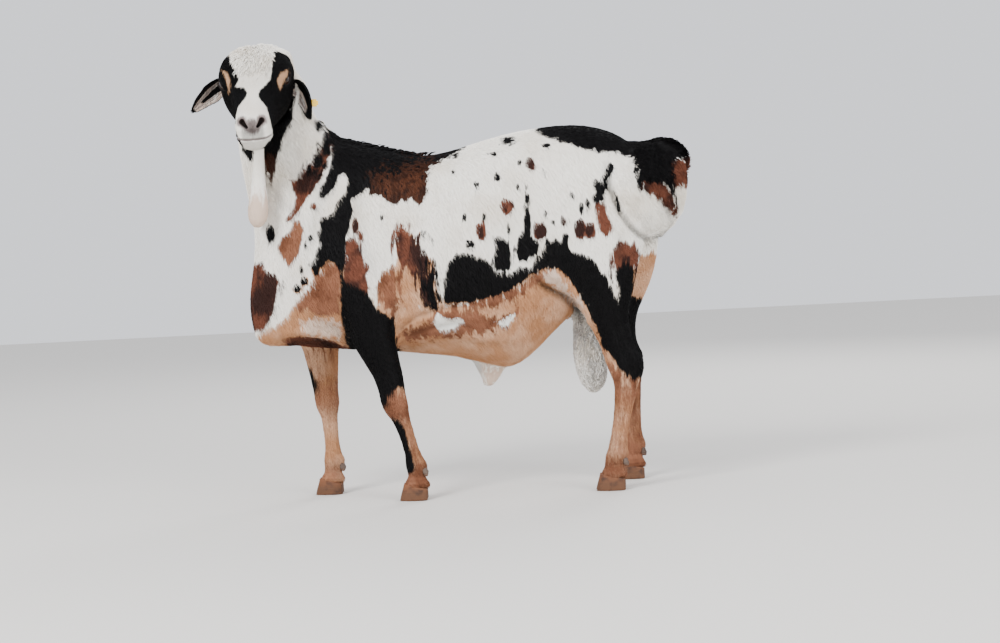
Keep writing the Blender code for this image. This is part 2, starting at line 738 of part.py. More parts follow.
def ear_tag():
    """A small blank plate on the outer side of the left ear."""
    form = bmesh.new()
    sizes = Matrix.Diagonal((TAG_WIDTH, TAG_THICKNESS, TAG_HEIGHT, 1.0))
    bmesh.ops.create_cube(form, size=1.0, matrix=sizes)
    corners = [edge for edge in form.edges if abs(edge.verts[0].co.y - edge.verts[1].co.y) > TAG_THICKNESS / 2]
    bmesh.ops.bevel(form, geom=corners, offset=TAG_CORNER, segments=3, affect="EDGES", profile=0.5)
    bmesh.ops.transform(form, matrix=Matrix.Rotation(TAG_TURN, 4, "Z"), verts=form.verts[:])
    bmesh.ops.translate(form, vec=TAG_PLACE, verts=form.verts[:])
    return add_object("ear_tag", form)


def wattle(name):
    """A long drop of skin, thin at its root and round at its end."""
    root_x, bulb_x, y, top, bottom, bulb = WATTLES[name]
    points = []
    for share, width in WATTLE_SECTIONS:
        x = root_x + (bulb_x - root_x) * share
        points.append((x, y, top - share * (top - bottom), bulb * width))
    return tube(name, points, sides=12, steps=1)


def claw(name, x_front, x_rear, middle_y, outward):
    """One claw of a hoof: flat inside, rounded outside, narrower at the toe."""
    inner = middle_y + outward * CLEFT / 2
    length = x_rear - x_front
    rings = []
    for z, lean, flare in CLAW_SECTIONS:
        ring = []
        for index in range(CLAW_SIDES):
            along, across = rounded(2 * math.pi * index / CLAW_SIDES, 2.3)
            x = x_front + lean + (length - lean) * (along + 1) / 2
            narrow = 1.0 + CLAW_TAPER * along
            reach = 0.5 * CLAW_WIDTH * flare * narrow
            y = inner + outward * (reach + across * reach)
            ring.append((x, y, z))
        rings.append(ring)
    return loft(name, rings)


def coronet_block(x_front, x_rear, middle_y, below, gap):
    """A box whose sloping face is the coronet, to cut either the leg's end or the hoof's top."""
    slope = math.atan2(CORONET_FRONT - CORONET_REAR, x_rear - x_front)
    middle = Vector(((x_front + x_rear) / 2, middle_y, (CORONET_FRONT + CORONET_REAR) / 2))
    shift = -CUT_BOX / 2 if below else CUT_BOX / 2
    form = bmesh.new()
    turn = Matrix.Rotation(slope, 4, "Y")
    place = Matrix.Translation(middle) @ turn @ Matrix.Translation((0, 0, shift + gap))
    bmesh.ops.create_cube(form, size=CUT_BOX, matrix=place)
    return add_object("coronet", form)


def foot(leg_name, leg, sections, side):
    """Two claws and two dewclaws under a leg, and the leg's end cut to meet them."""
    x_front = sections[-1][1] - CLAW_TOE
    x_rear = sections[-1][2] + CLAW_HEEL
    middle_y = side * sections[-1][3]
    combine(leg, [coronet_block(x_front, x_rear, middle_y, True, GAP)], "DIFFERENCE")
    pieces = []
    for label, outward in (("outer", side), ("inner", -side)):
        piece = claw(f"hoof_{leg_name}_{label}", x_front, x_rear, middle_y, outward)
        combine(piece, [coronet_block(x_front, x_rear, middle_y, False, 0.0)], "DIFFERENCE")
        pieces.append((piece, "horn"))
    rear_x = value_at(sorted(sections), DEWCLAW_HEIGHT)[1]
    for label, outward in (("outer", side), ("inner", -side)):
        root = Vector((rear_x - 0.010, middle_y + outward * DEWCLAW_SPREAD, DEWCLAW_HEIGHT + 0.004))
        tip = root + Vector((DEWCLAW_LENGTH, outward * 0.003, -0.009))
        points = [(*root, 0.0060), (*root.lerp(tip, 0.6), 0.0056), (*tip, 0.0022)]
        spur = tube(f"dewclaw_{leg_name}_{label}", points, sides=8, steps=1)
        combine(spur, [grown(leg)], "DIFFERENCE")
        pieces.append((spur, "horn"))
    return pieces


def leg_zone(sections, side, top):
    """A block round one leg, from under the floor up to where the leg parts from the trunk."""
    rows = [(top, *value_at(sorted(sections), top))]
    rows += [row for row in sections if row[0] < top]
    rows.append((ZONE_FOOT, *sections[-1][1:]))
    rings = []
    for z, front, rear, middle, half in rows:
        inner = side * max(middle - half - ZONE_MARGIN, ZONE_MARGIN)
        outer = side * ZONE_OUTSIDE
        near = front - ZONE_MARGIN
        far = rear + ZONE_MARGIN
        rings.append([(near, inner, z), (far, inner, z), (far, outer, z), (near, outer, z)])
    return loft("zone", rings)


def part_off(body, zone, name):
    """Give a new object what of the body lies in the zone, and cut it out of the body."""
    piece = duplicate(body, name)
    clearance = grown(zone)
    combine(piece, [zone], "INTERSECT")
    combine(body, [clearance], "DIFFERENCE")
    return piece


def neck_zone():
    """Everything above a plane from the withers down to the front of the chest."""
    low = Vector(NECK_CUT_LOW)
    along = (Vector(NECK_CUT_HIGH) - low).normalized()
    up = Vector((-along.z, 0.0, along.x))
    across = Vector((0.0, ZONE_OUTSIDE, 0.0))
    base = [
        low - along * ZONE_OUTSIDE - across,
        low + along * ZONE_OUTSIDE * 2 - across,
        low + along * ZONE_OUTSIDE * 2 + across,
        low - along * ZONE_OUTSIDE + across,
    ]
    top = [corner + up * ZONE_OUTSIDE * 2 for corner in base]
    return loft("neck_zone", [base, top])


def make_tail(body):
    """Two lobes of fat with a furrow between them, and the thin end curled over their top."""
    lobes = [level_loft("lobe", TAIL_LOBE, side, sides=18, steps=1) for side in (-1, 1)]
    root = [(x, 0.0, z, radius) for x, z, radius in TAIL_ROOT]
    lobes.append(tube("root", root, sides=16, steps=2))
    tail = melted("tail", lobes, TAIL_VOXEL, TAIL_SOFTENING, TAIL_TRIANGLES)
    tip = tube("tail_tip", TAIL_TIP, sides=9, steps=2)
    combine(tail, [grown(body)], "DIFFERENCE")
    combine(tip, [grown(tail), grown(body)], "DIFFERENCE")
    return tail, tip


def centre_on_floor(things):
    """Move every mesh so that the origin is under the middle of the whole box."""
    corners = [vert.co for thing in things for vert in thing.data.vertices]
    lowest = [min(corner[axis] for corner in corners) for axis in range(3)]
    highest = [max(corner[axis] for corner in corners) for axis in range(3)]
    move = Vector((-(lowest[0] + highest[0]) / 2, -(lowest[1] + highest[1]) / 2, -lowest[2]))
    for thing in things:
        thing.data.transform(Matrix.Translation(move))


def build():
    clear_scene()
    frame = head_frame()
    parts = []

    body = fused_body()
    head, eyes = make_head(frame)
    combine(body, [grown(head)], "DIFFERENCE")
    parts.append((head, "white_coat"))
    parts += [(eye, "eyeball") for eye in eyes]

    ear_left = ear("ear_left", EAR_LEFT, EAR_LEFT_OPENS)
    ear_right = ear("ear_right", EAR_RIGHT, EAR_RIGHT_OPENS)
    for cup in (ear_left, ear_right):
        combine(cup, [grown(head), grown(body)], "DIFFERENCE")
        parts.append((cup, "black_coat"))
    tag = ear_tag()
    combine(tag, [grown(ear_left)], "DIFFERENCE")
    parts.append((tag, "tag_plastic"))
    for name in WATTLES:
        drop = wattle(name)
        combine(drop, [grown(head), grown(body)], "DIFFERENCE")
        parts.append((drop, "bare_skin"))

    tail, tip = make_tail(body)
    parts += [(tail, "white_coat"), (tip, "black_coat")]
    for name, sections in (("scrotum", SCROTUM), ("sheath", SHEATH)):
        piece = level_loft(name, sections, 1, sides=14, steps=2)
        combine(piece, [grown(body)], "DIFFERENCE")
        parts.append((piece, "bare_skin"))

    legs = (
        ("fore_left", NEAR_FORELEG, -1, FORELEG_TOP),
        ("fore_right", FAR_FORELEG, 1, FORELEG_TOP),
        ("hind_left", NEAR_HINDLEG, -1, HINDLEG_TOP),
        ("hind_right", FAR_HINDLEG, 1, HINDLEG_TOP),
    )
    for name, sections, side, top in legs:
        leg = part_off(body, leg_zone(sections, side, top), "leg_" + name)
        parts += foot(name, leg, sections, side)
        parts.append((leg, "tan_coat"))
    neck = part_off(body, neck_zone(), "neck")
    parts.append((neck, "white_coat"))
    body.name = "torso"
    parts.append((body, "white_coat"))

    for thing, coat in parts:
        paint(thing, coat)
    centre_on_floor([thing for thing, coat in parts])


build()
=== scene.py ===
"""Looks of a life-size fat-tailed hair sheep ram, standing with its head turned to its left.

Metres, +Z up. The ram faces -X and its left side faces -Y. One skin stands for all the parts of flesh:
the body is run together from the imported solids, and head, ears and wattles are laid on it from finer
sections. The markings are outlines in centimetres on an upright plane beside the animal, stored on the
skin as distances to each outline's edge, so that skin and hair share them.
"""
import math
from contextlib import contextmanager

import bmesh
import bpy
import numpy as np
from mathutils import Matrix, Vector
from mathutils.kdtree import KDTree


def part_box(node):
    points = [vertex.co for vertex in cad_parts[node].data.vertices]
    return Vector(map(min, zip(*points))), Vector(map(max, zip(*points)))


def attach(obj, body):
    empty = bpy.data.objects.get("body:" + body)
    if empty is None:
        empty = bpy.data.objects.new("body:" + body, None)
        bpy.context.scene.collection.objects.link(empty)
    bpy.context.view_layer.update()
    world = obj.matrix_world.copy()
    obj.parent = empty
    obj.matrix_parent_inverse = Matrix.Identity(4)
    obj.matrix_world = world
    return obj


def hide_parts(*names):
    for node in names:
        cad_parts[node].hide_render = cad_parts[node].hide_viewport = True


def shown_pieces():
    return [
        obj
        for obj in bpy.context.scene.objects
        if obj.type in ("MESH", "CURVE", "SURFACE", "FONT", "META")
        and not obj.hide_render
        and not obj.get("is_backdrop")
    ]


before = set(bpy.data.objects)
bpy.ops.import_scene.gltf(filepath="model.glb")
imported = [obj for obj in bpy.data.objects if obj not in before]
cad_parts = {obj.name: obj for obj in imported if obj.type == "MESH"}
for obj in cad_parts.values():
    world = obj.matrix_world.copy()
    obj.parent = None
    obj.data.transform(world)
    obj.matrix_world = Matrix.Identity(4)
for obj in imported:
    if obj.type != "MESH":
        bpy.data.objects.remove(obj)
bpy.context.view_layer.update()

# Place of the CAD sections' own origin in this frame, and the body's mid-plane
SECTION_ORIGIN = np.array((-0.02482, 0.03159, 0.0))
MIDDLE_Y = 0.0316

# The photographer's place and the plane on which the markings are laid out
EYE_POINT = np.array((0.1347, -4.35, 0.55)) + SECTION_ORIGIN
CAMERA_PITCH = math.atan(84.1 / 2000.0)
CAMERA_ROLL = 0.05
CAMERA_LENS = 72.0
SENSOR_WIDTH = 36.0
MARKING_PLANE = -0.12

# Lights: place, width, power
LIGHTS = {
    "key": ((-2.4, -3.4, 3.4), 1.8, 265.0),
    "fill": ((3.0, -3.6, 1.6), 2.6, 155.0),
    "rim": ((1.5, 3.6, 2.8), 1.8, 80.0),
}
LIT_SPOT = Vector((0.0, 0.0, 0.45))
SURROUND = {"Color": (0.93, 0.95, 1.0, 1.0), "Strength": 1.24}
FLOOR_CORNERS = [(-9, -6, 0), (9, -6, 0), (9, 9, 0), (-9, 9, 0)]

BODY_VOXEL = 0.0058
BODY_SWELL = 0.0004
BODY_NODES = (
    "torso", "neck", "leg_fore_left", "leg_fore_right", "leg_hind_left", "leg_hind_right",
    "tail", "tail_tip", "scrotum", "sheath",
)
# The forms that are laid on the body, by the number that marks their points
BODY, HEAD, EAR_LEFT, EAR_RIGHT, WATTLE_LEFT, WATTLE_RIGHT = range(6)
LAID_ON = {
    "head": HEAD, "ear_left": EAR_LEFT, "ear_right": EAR_RIGHT,
    "wattle_left": WATTLE_LEFT, "wattle_right": WATTLE_RIGHT,
}
EAR_LABELS = {"ear_left": EAR_LEFT, "ear_right": EAR_RIGHT}
SKIN_NODES = BODY_NODES + tuple(LAID_ON)
# Pairs of forms that grow into each other, how far the softening reaches, and its rounds
JOINTS = (
    ((BODY, HEAD), 0.034, 70), ((HEAD, EAR_LEFT), 0.007, 8), ((HEAD, EAR_RIGHT), 0.007, 8),
    ((BODY, WATTLE_LEFT), 0.012, 14), ((BODY, WATTLE_RIGHT), 0.012, 14),
    ((BODY, EAR_LEFT), 0.007, 8), ((BODY, EAR_RIGHT), 0.007, 8),
)
# Strength of a smoothing that keeps the volume, and of its step back
SMOOTHING = (0.5, 1.02)

# Depth of the flat coat over the skin
COAT_DEPTH = {
    "torso": 0.0025, "neck": 0.0025, "tail": 0.0030, "tail_tip": 0.0030, "scrotum": 0.0030,
    "sheath": 0.0008, "head": 0.0010,
    "leg_fore_left": 0.0013, "leg_fore_right": 0.0013, "leg_hind_left": 0.0013, "leg_hind_right": 0.0013,
}

# Head: u runs from poll to nose, v to the animal's left and w up from the face
POLL = Vector((-0.358, -0.030, 0.946)) + Vector(SECTION_ORIGIN)
FACE_DOWN = math.radians(38.0)
FACE_TURN = math.radians(1.7)
FACE_TILT = math.radians(2.5)
HEAD_SIDES = 168
HEAD_STEPS = 11
# u, top, bottom, half width, height of the widest place, squareness above, squareness below
HEAD_SECTIONS = [
    (-0.030, 0.012, -0.035, 0.022, 0.000, 2.0, 2.0),
    (-0.018, 0.037, -0.052, 0.049, 0.000, 2.0, 2.0),
    (0.006, 0.0510, -0.062, 0.067, 0.012, 2.1, 2.0),
    (0.035, 0.0590, -0.072, 0.0735, 0.020, 2.3, 2.0),
    (0.065, 0.0635, -0.079, 0.0750, 0.024, 2.4, 2.1),
    (0.095, 0.0640, -0.081, 0.0720, 0.020, 2.4, 2.3),
    (0.120, 0.0630, -0.077, 0.0650, 0.004, 2.4, 2.4),
    (0.145, 0.0600, -0.068, 0.054, -0.008, 2.3, 2.4),
    (0.175, 0.0550, -0.059, 0.0445, -0.010, 2.3, 2.1),
    (0.205, 0.0475, -0.051, 0.0385, -0.010, 2.3, 2.0),
    (0.228, 0.0385, -0.049, 0.0375, -0.009, 2.4, 2.0),
    (0.246, 0.0270, -0.047, 0.0360, -0.008, 2.5, 2.0),
    (0.258, 0.0160, -0.042, 0.0315, -0.008, 2.4, 2.0),
    (0.266, 0.0050, -0.031, 0.0220, -0.010, 2.2, 2.0),
    (0.269, -0.0040, -0.020, 0.0100, -0.012, 2.0, 2.0),
]
# Swellings and hollows of the face: u, v, w, reach, how far it stands out
HEAD_FORMS = [
    (0.098, 0.061, 0.037, 0.022, 0.0050),     # brow over the eye
    (0.076, 0.062, -0.034, 0.038, 0.0075),    # cheek muscle
    (0.128, 0.056, 0.018, 0.018, -0.0040),    # hollow before the eye
    (0.160, 0.040, -0.014, 0.024, 0.0030),    # ridge of the upper jaw
    (0.190, 0.036, -0.036, 0.022, -0.0030),   # hollow behind the lips
    (0.238, 0.026, 0.016, 0.014, 0.0035),     # wing of the nostril
    (0.247, 0.024, -0.032, 0.014, 0.0025),    # lower lip
    (0.222, 0.038, -0.010, 0.012, 0.0018),    # pad of the upper lip
    (0.213, 0.040, -0.030, 0.007, -0.0022),   # dimple at the corner of the mouth
    (0.135, 0.020, 0.060, 0.014, 0.0012),     # edge of the nose bone
    (0.112, 0.070, -0.004, 0.012, -0.0022),   # groove under the eye
    (0.040, 0.072, 0.012, 0.016, -0.0030),    # temple
]
# The same on one side only, as the head is turned on the neck
HEAD_UNEVEN = [
    (-0.002, 0.066, -0.004, 0.034, 0.0160),   # neck standing out behind the left ear
    (0.068, 0.080, 0.020, 0.024, 0.0070),     # left temple
    (0.130, 0.068, -0.010, 0.032, 0.0040),    # left cheek
    (0.140, -0.062, -0.005, 0.034, -0.0080),  # right cheek
]
# Parts of the face where the faces are split finer: reach round the eye, and from where on the nose
FINER = ((0.026, 0.232), (0.020, 1.0))
EYE = np.array((0.100, 0.0590, 0.023))
EYE_LOOK = np.array((0.42, 0.86, 0.20))
EYE_ALONG = np.array((0.90, 0.0, -0.30))
EYE_RADIUS = 0.0145
EYE_REACH = 0.034
LID_THICKNESS = 0.0018
LID_HALF_LENGTH = 0.0128
LID_HALF_OPENING = 0.0058
LID_ROUNDNESS = 0.62
NOSTRIL_OUTER = np.array((0.2440, 0.0205, 0.0225))
NOSTRIL_INNER = np.array((0.2550, 0.0110, 0.0148))
NOSTRIL_WAY = np.array((0.75, 0.30, 0.60))
NOSTRIL_WIDE = 0.0078
NOSTRIL_NARROW = 0.0036
NOSTRIL_DEPTH = 0.0090
NOSE_PAD = np.array((0.256, 0.0, 0.0170))
NOSE_PAD_RADIUS = 0.0135
MOUTH_LINE = np.array(((0.208, -0.0265), (0.236, -0.0165), (0.255, -0.0095), (0.280, -0.0050)))
# Slit and rims of the lips: height over the mouth line, reach, how far it stands out
LIP_FORMS = ((0.0, 0.0013, -0.0018), (0.0042, 0.0028, 0.0011), (-0.0046, 0.0030, 0.0013))
# Lines of the skin behind the corner of the mouth and under the eye
JOWL_LINES = (
    ((0.206, 0.042, -0.031), (0.170, 0.047, -0.040)), ((0.120, 0.071, 0.006), (0.150, 0.056, -0.006)),
)

# Ears: middle line from root to tip in the sections' frame, and the way the cup opens
EARS = {
    "ear_right": (
        [(-0.402, -0.050, 0.916), (-0.437, -0.058, 0.906), (-0.470, -0.064, 0.879), (-0.499, -0.068, 0.850)],
        (0.10, -0.90, -0.42),
    ),
    "ear_left": (
        [(-0.303, -0.050, 0.898), (-0.264, -0.060, 0.891), (-0.251, -0.066, 0.860), (-0.248, -0.068, 0.822)],
        (-0.62, -0.76, -0.20),
    ),
}
# Share of the length, half width, how far round the cup curls
EAR_SECTIONS = np.array((
    (0.00, 0.022, 2.30), (0.25, 0.028, 1.60), (0.55, 0.0255, 1.05), (0.80, 0.0155, 0.80),
    (0.93, 0.0085, 0.60), (1.00, 0.0025, 0.40),
))
EAR_THICKNESS = 0.0024
EAR_RIDGE = 0.0011
EAR_RIM = 0.0030
EAR_ROWS = 64
EAR_COLUMNS = 40

# Wattles: x at the root, x at the bulb, y, top, bottom, bulb radius, in the sections' frame
WATTLES = {
    "wattle_left": (-0.3500, -0.3645, -0.134, 0.806, 0.5960, 0.0212),
    "wattle_right": (-0.3560, -0.3680, -0.0935, 0.822, 0.6055, 0.0160),
}
# Share of the length, share of the bulb's radius
WATTLE_SECTIONS = [
    (0.00, 0.52), (0.15, 0.44), (0.35, 0.50), (0.55, 0.66), (0.72, 0.90), (0.83, 1.00),
    (0.92, 0.88), (0.98, 0.52), (1.00, 0.16),
]
WATTLE_SIDES = 40
WATTLE_STEPS = 7
# Height where a wattle's bare bulb begins, and the width of its blend
WATTLE_BULB = (0.665, 0.022)

# Folds of the skin: which side, half width, depth (below nought stands out), points x, z in metres
FOLDS = {
    "brisket hollow": ("both", 0.0090, 0.0120, [
        (-0.346, 0.354), (-0.312, 0.354), (-0.270, 0.346), (-0.218, 0.330)]),
    "brisket lip": ("both", 0.0080, -0.0040, [
        (-0.332, 0.371), (-0.290, 0.370), (-0.238, 0.356), (-0.204, 0.335)]),
    "brisket crease": ("both", 0.0060, 0.0030, [
        (-0.292, 0.405), (-0.268, 0.391), (-0.235, 0.373), (-0.209, 0.348)]),
    "flank fold": ("both", 0.0070, 0.0190, [
        (0.190, 0.459), (0.208, 0.441), (0.246, 0.417), (0.269, 0.398), (0.285, 0.376)]),
    "flank web": ("both", 0.0100, -0.0070, [
        (0.201, 0.475), (0.240, 0.457), (0.268, 0.428), (0.292, 0.393), (0.310, 0.346)]),
    "belly fold high": ("both", 0.0065, 0.0045, [
        (-0.116, 0.352), (-0.068, 0.390), (-0.013, 0.404), (0.053, 0.411)]),
    "belly roll": ("both", 0.0080, -0.0020, [
        (-0.100, 0.362), (-0.055, 0.378), (0.010, 0.388), (0.090, 0.378)]),
    "belly fold middle": ("both", 0.0060, 0.0042, [
        (-0.110, 0.346), (-0.049, 0.361), (0.015, 0.373), (0.071, 0.349)]),
    "belly fold low": ("both", 0.0080, 0.0030, [
        (-0.103, 0.324), (-0.018, 0.341), (0.065, 0.326), (0.149, 0.320)]),
    "behind elbow": ("left", 0.0070, 0.0060, [(-0.108, 0.430), (-0.112, 0.388), (-0.121, 0.352)]),
    "before elbow": ("left", 0.0080, 0.0050, [
        (-0.224, 0.455), (-0.222, 0.420), (-0.212, 0.378), (-0.196, 0.340)]),
    "shoulder": ("left", 0.0140, 0.0028, [
        (-0.165, 0.690), (-0.180, 0.620), (-0.172, 0.550), (-0.150, 0.480)]),
    "shoulder blade": ("left", 0.0130, 0.0028, [(-0.235, 0.700), (-0.262, 0.620), (-0.285, 0.540)]),
    "neck": ("left", 0.0100, 0.0030, [(-0.375, 0.700), (-0.330, 0.640), (-0.290, 0.600)]),
    "thigh": ("both", 0.0110, 0.0028, [(0.370, 0.560), (0.378, 0.480), (0.372, 0.400), (0.378, 0.330)]),
    "tail edge": ("both", 0.0055, 0.0145, [
        (0.350, 0.694), (0.349, 0.664), (0.354, 0.640), (0.363, 0.616), (0.374, 0.588), (0.394, 0.558),
        (0.411, 0.541), (0.429, 0.528), (0.453, 0.537), (0.475, 0.551)]),
    "tail lobe": ("both", 0.0150, -0.0070, [
        (0.375, 0.680), (0.385, 0.630), (0.405, 0.590), (0.435, 0.565)]),
    "tail furrow": ("left", 0.0060, 0.0050, [(0.448, 0.633), (0.473, 0.585), (0.480, 0.558)]),
    "tail curl": ("left", 0.0060, 0.0080, [
        (0.440, 0.735), (0.449, 0.700), (0.466, 0.668), (0.478, 0.640)]),
}
FOLD_END = 0.03
# Depth of a fold at which its painted shade is darkest
FOLD_SHADOW = 0.011
# Swellings of the legs: height, share of the way from front to back, its reach, reach in height, height
LEG_FORMS = {
    "fore": [
        (0.200, 0.0, 0.45, 0.022, 0.0026), (0.205, 1.0, 0.45, 0.016, 0.0022), (0.172, 0.5, 0.90, 0.012, -0.0008),
        (0.140, 0.5, 2.00, 0.034, -0.0010), (0.074, 1.0, 0.50, 0.012, 0.0040), (0.076, 0.1, 0.60, 0.013, 0.0014),
        (0.052, 0.4, 2.00, 0.007, -0.0016), (0.033, 0.4, 2.00, 0.008, 0.0075),
    ],
    "hind": [
        (0.276, 1.0, 0.40, 0.016, 0.0034), (0.258, 0.1, 0.50, 0.022, 0.0016), (0.235, 0.7, 0.40, 0.016, -0.0010),
        (0.150, 0.5, 2.00, 0.050, -0.0010), (0.076, 1.0, 0.50, 0.012, 0.0040), (0.078, 0.1, 0.60, 0.013, 0.0014),
        (0.053, 0.4, 2.00, 0.007, -0.0016), (0.033, 0.4, 2.00, 0.008, 0.0075),
    ],
}
# Groove between bone and tendon: from and to which height, depth, share of the way back, its reach
TENDON_HEIGHTS = {"fore": (0.065, 0.215), "hind": (0.065, 0.380)}
TENDON_DEPTH = 0.0026
TENDON_PLACE = (0.60, 0.10)
# Each leg: top of its tan, how much higher that is inside, how far red-brown shows through
LEGS = {
    "leg_fore_left": (0.262, 0.030, 0.15), "leg_fore_right": (0.330, 0.0, -0.60),
    "leg_hind_left": (0.245, 0.0, -0.05), "leg_hind_right": (0.290, 0.0, 0.40),
}
KNEES = {"fore": 0.205, "hind": 0.232}
# Heights where the hair of two colours mixes most
RAGGED_LEVELS = {"leg_fore_left": 0.240, "leg_hind_left": 0.245}
# The way the hair lies on parts that have their own
HAIR_WAYS = {
    "neck": (0.45, 0.0, -0.9), "tail": (0.45, 0.0, -0.9), "tail_tip": (0.9, 0.0, 0.4),
    "scrotum": (0.1, 0.0, -1.0), "sheath": (-0.8, 0.0, -0.5), "wattle_left": (0.0, 0.0, -1.0),
    "wattle_right": (0.0, 0.0, -1.0), **{name: (0.12, 0.0, -1.0) for name in LEGS},
}

# Outlines of the markings, in centimetres: x along the body and z up, as seen on the marking plane
RIB_BROWN = [
    (-10, 57.2), (-9.2, 58.1), (-8.2, 58.1), (-6.9, 56.9), (-5.5, 54.3), (-5, 52.3), (-4.1, 51.9),
    (-5.7, 49.6), (-6.2, 47.7), (-8.1, 49.3), (-9.5, 51.8), (-10.2, 54.9),
]
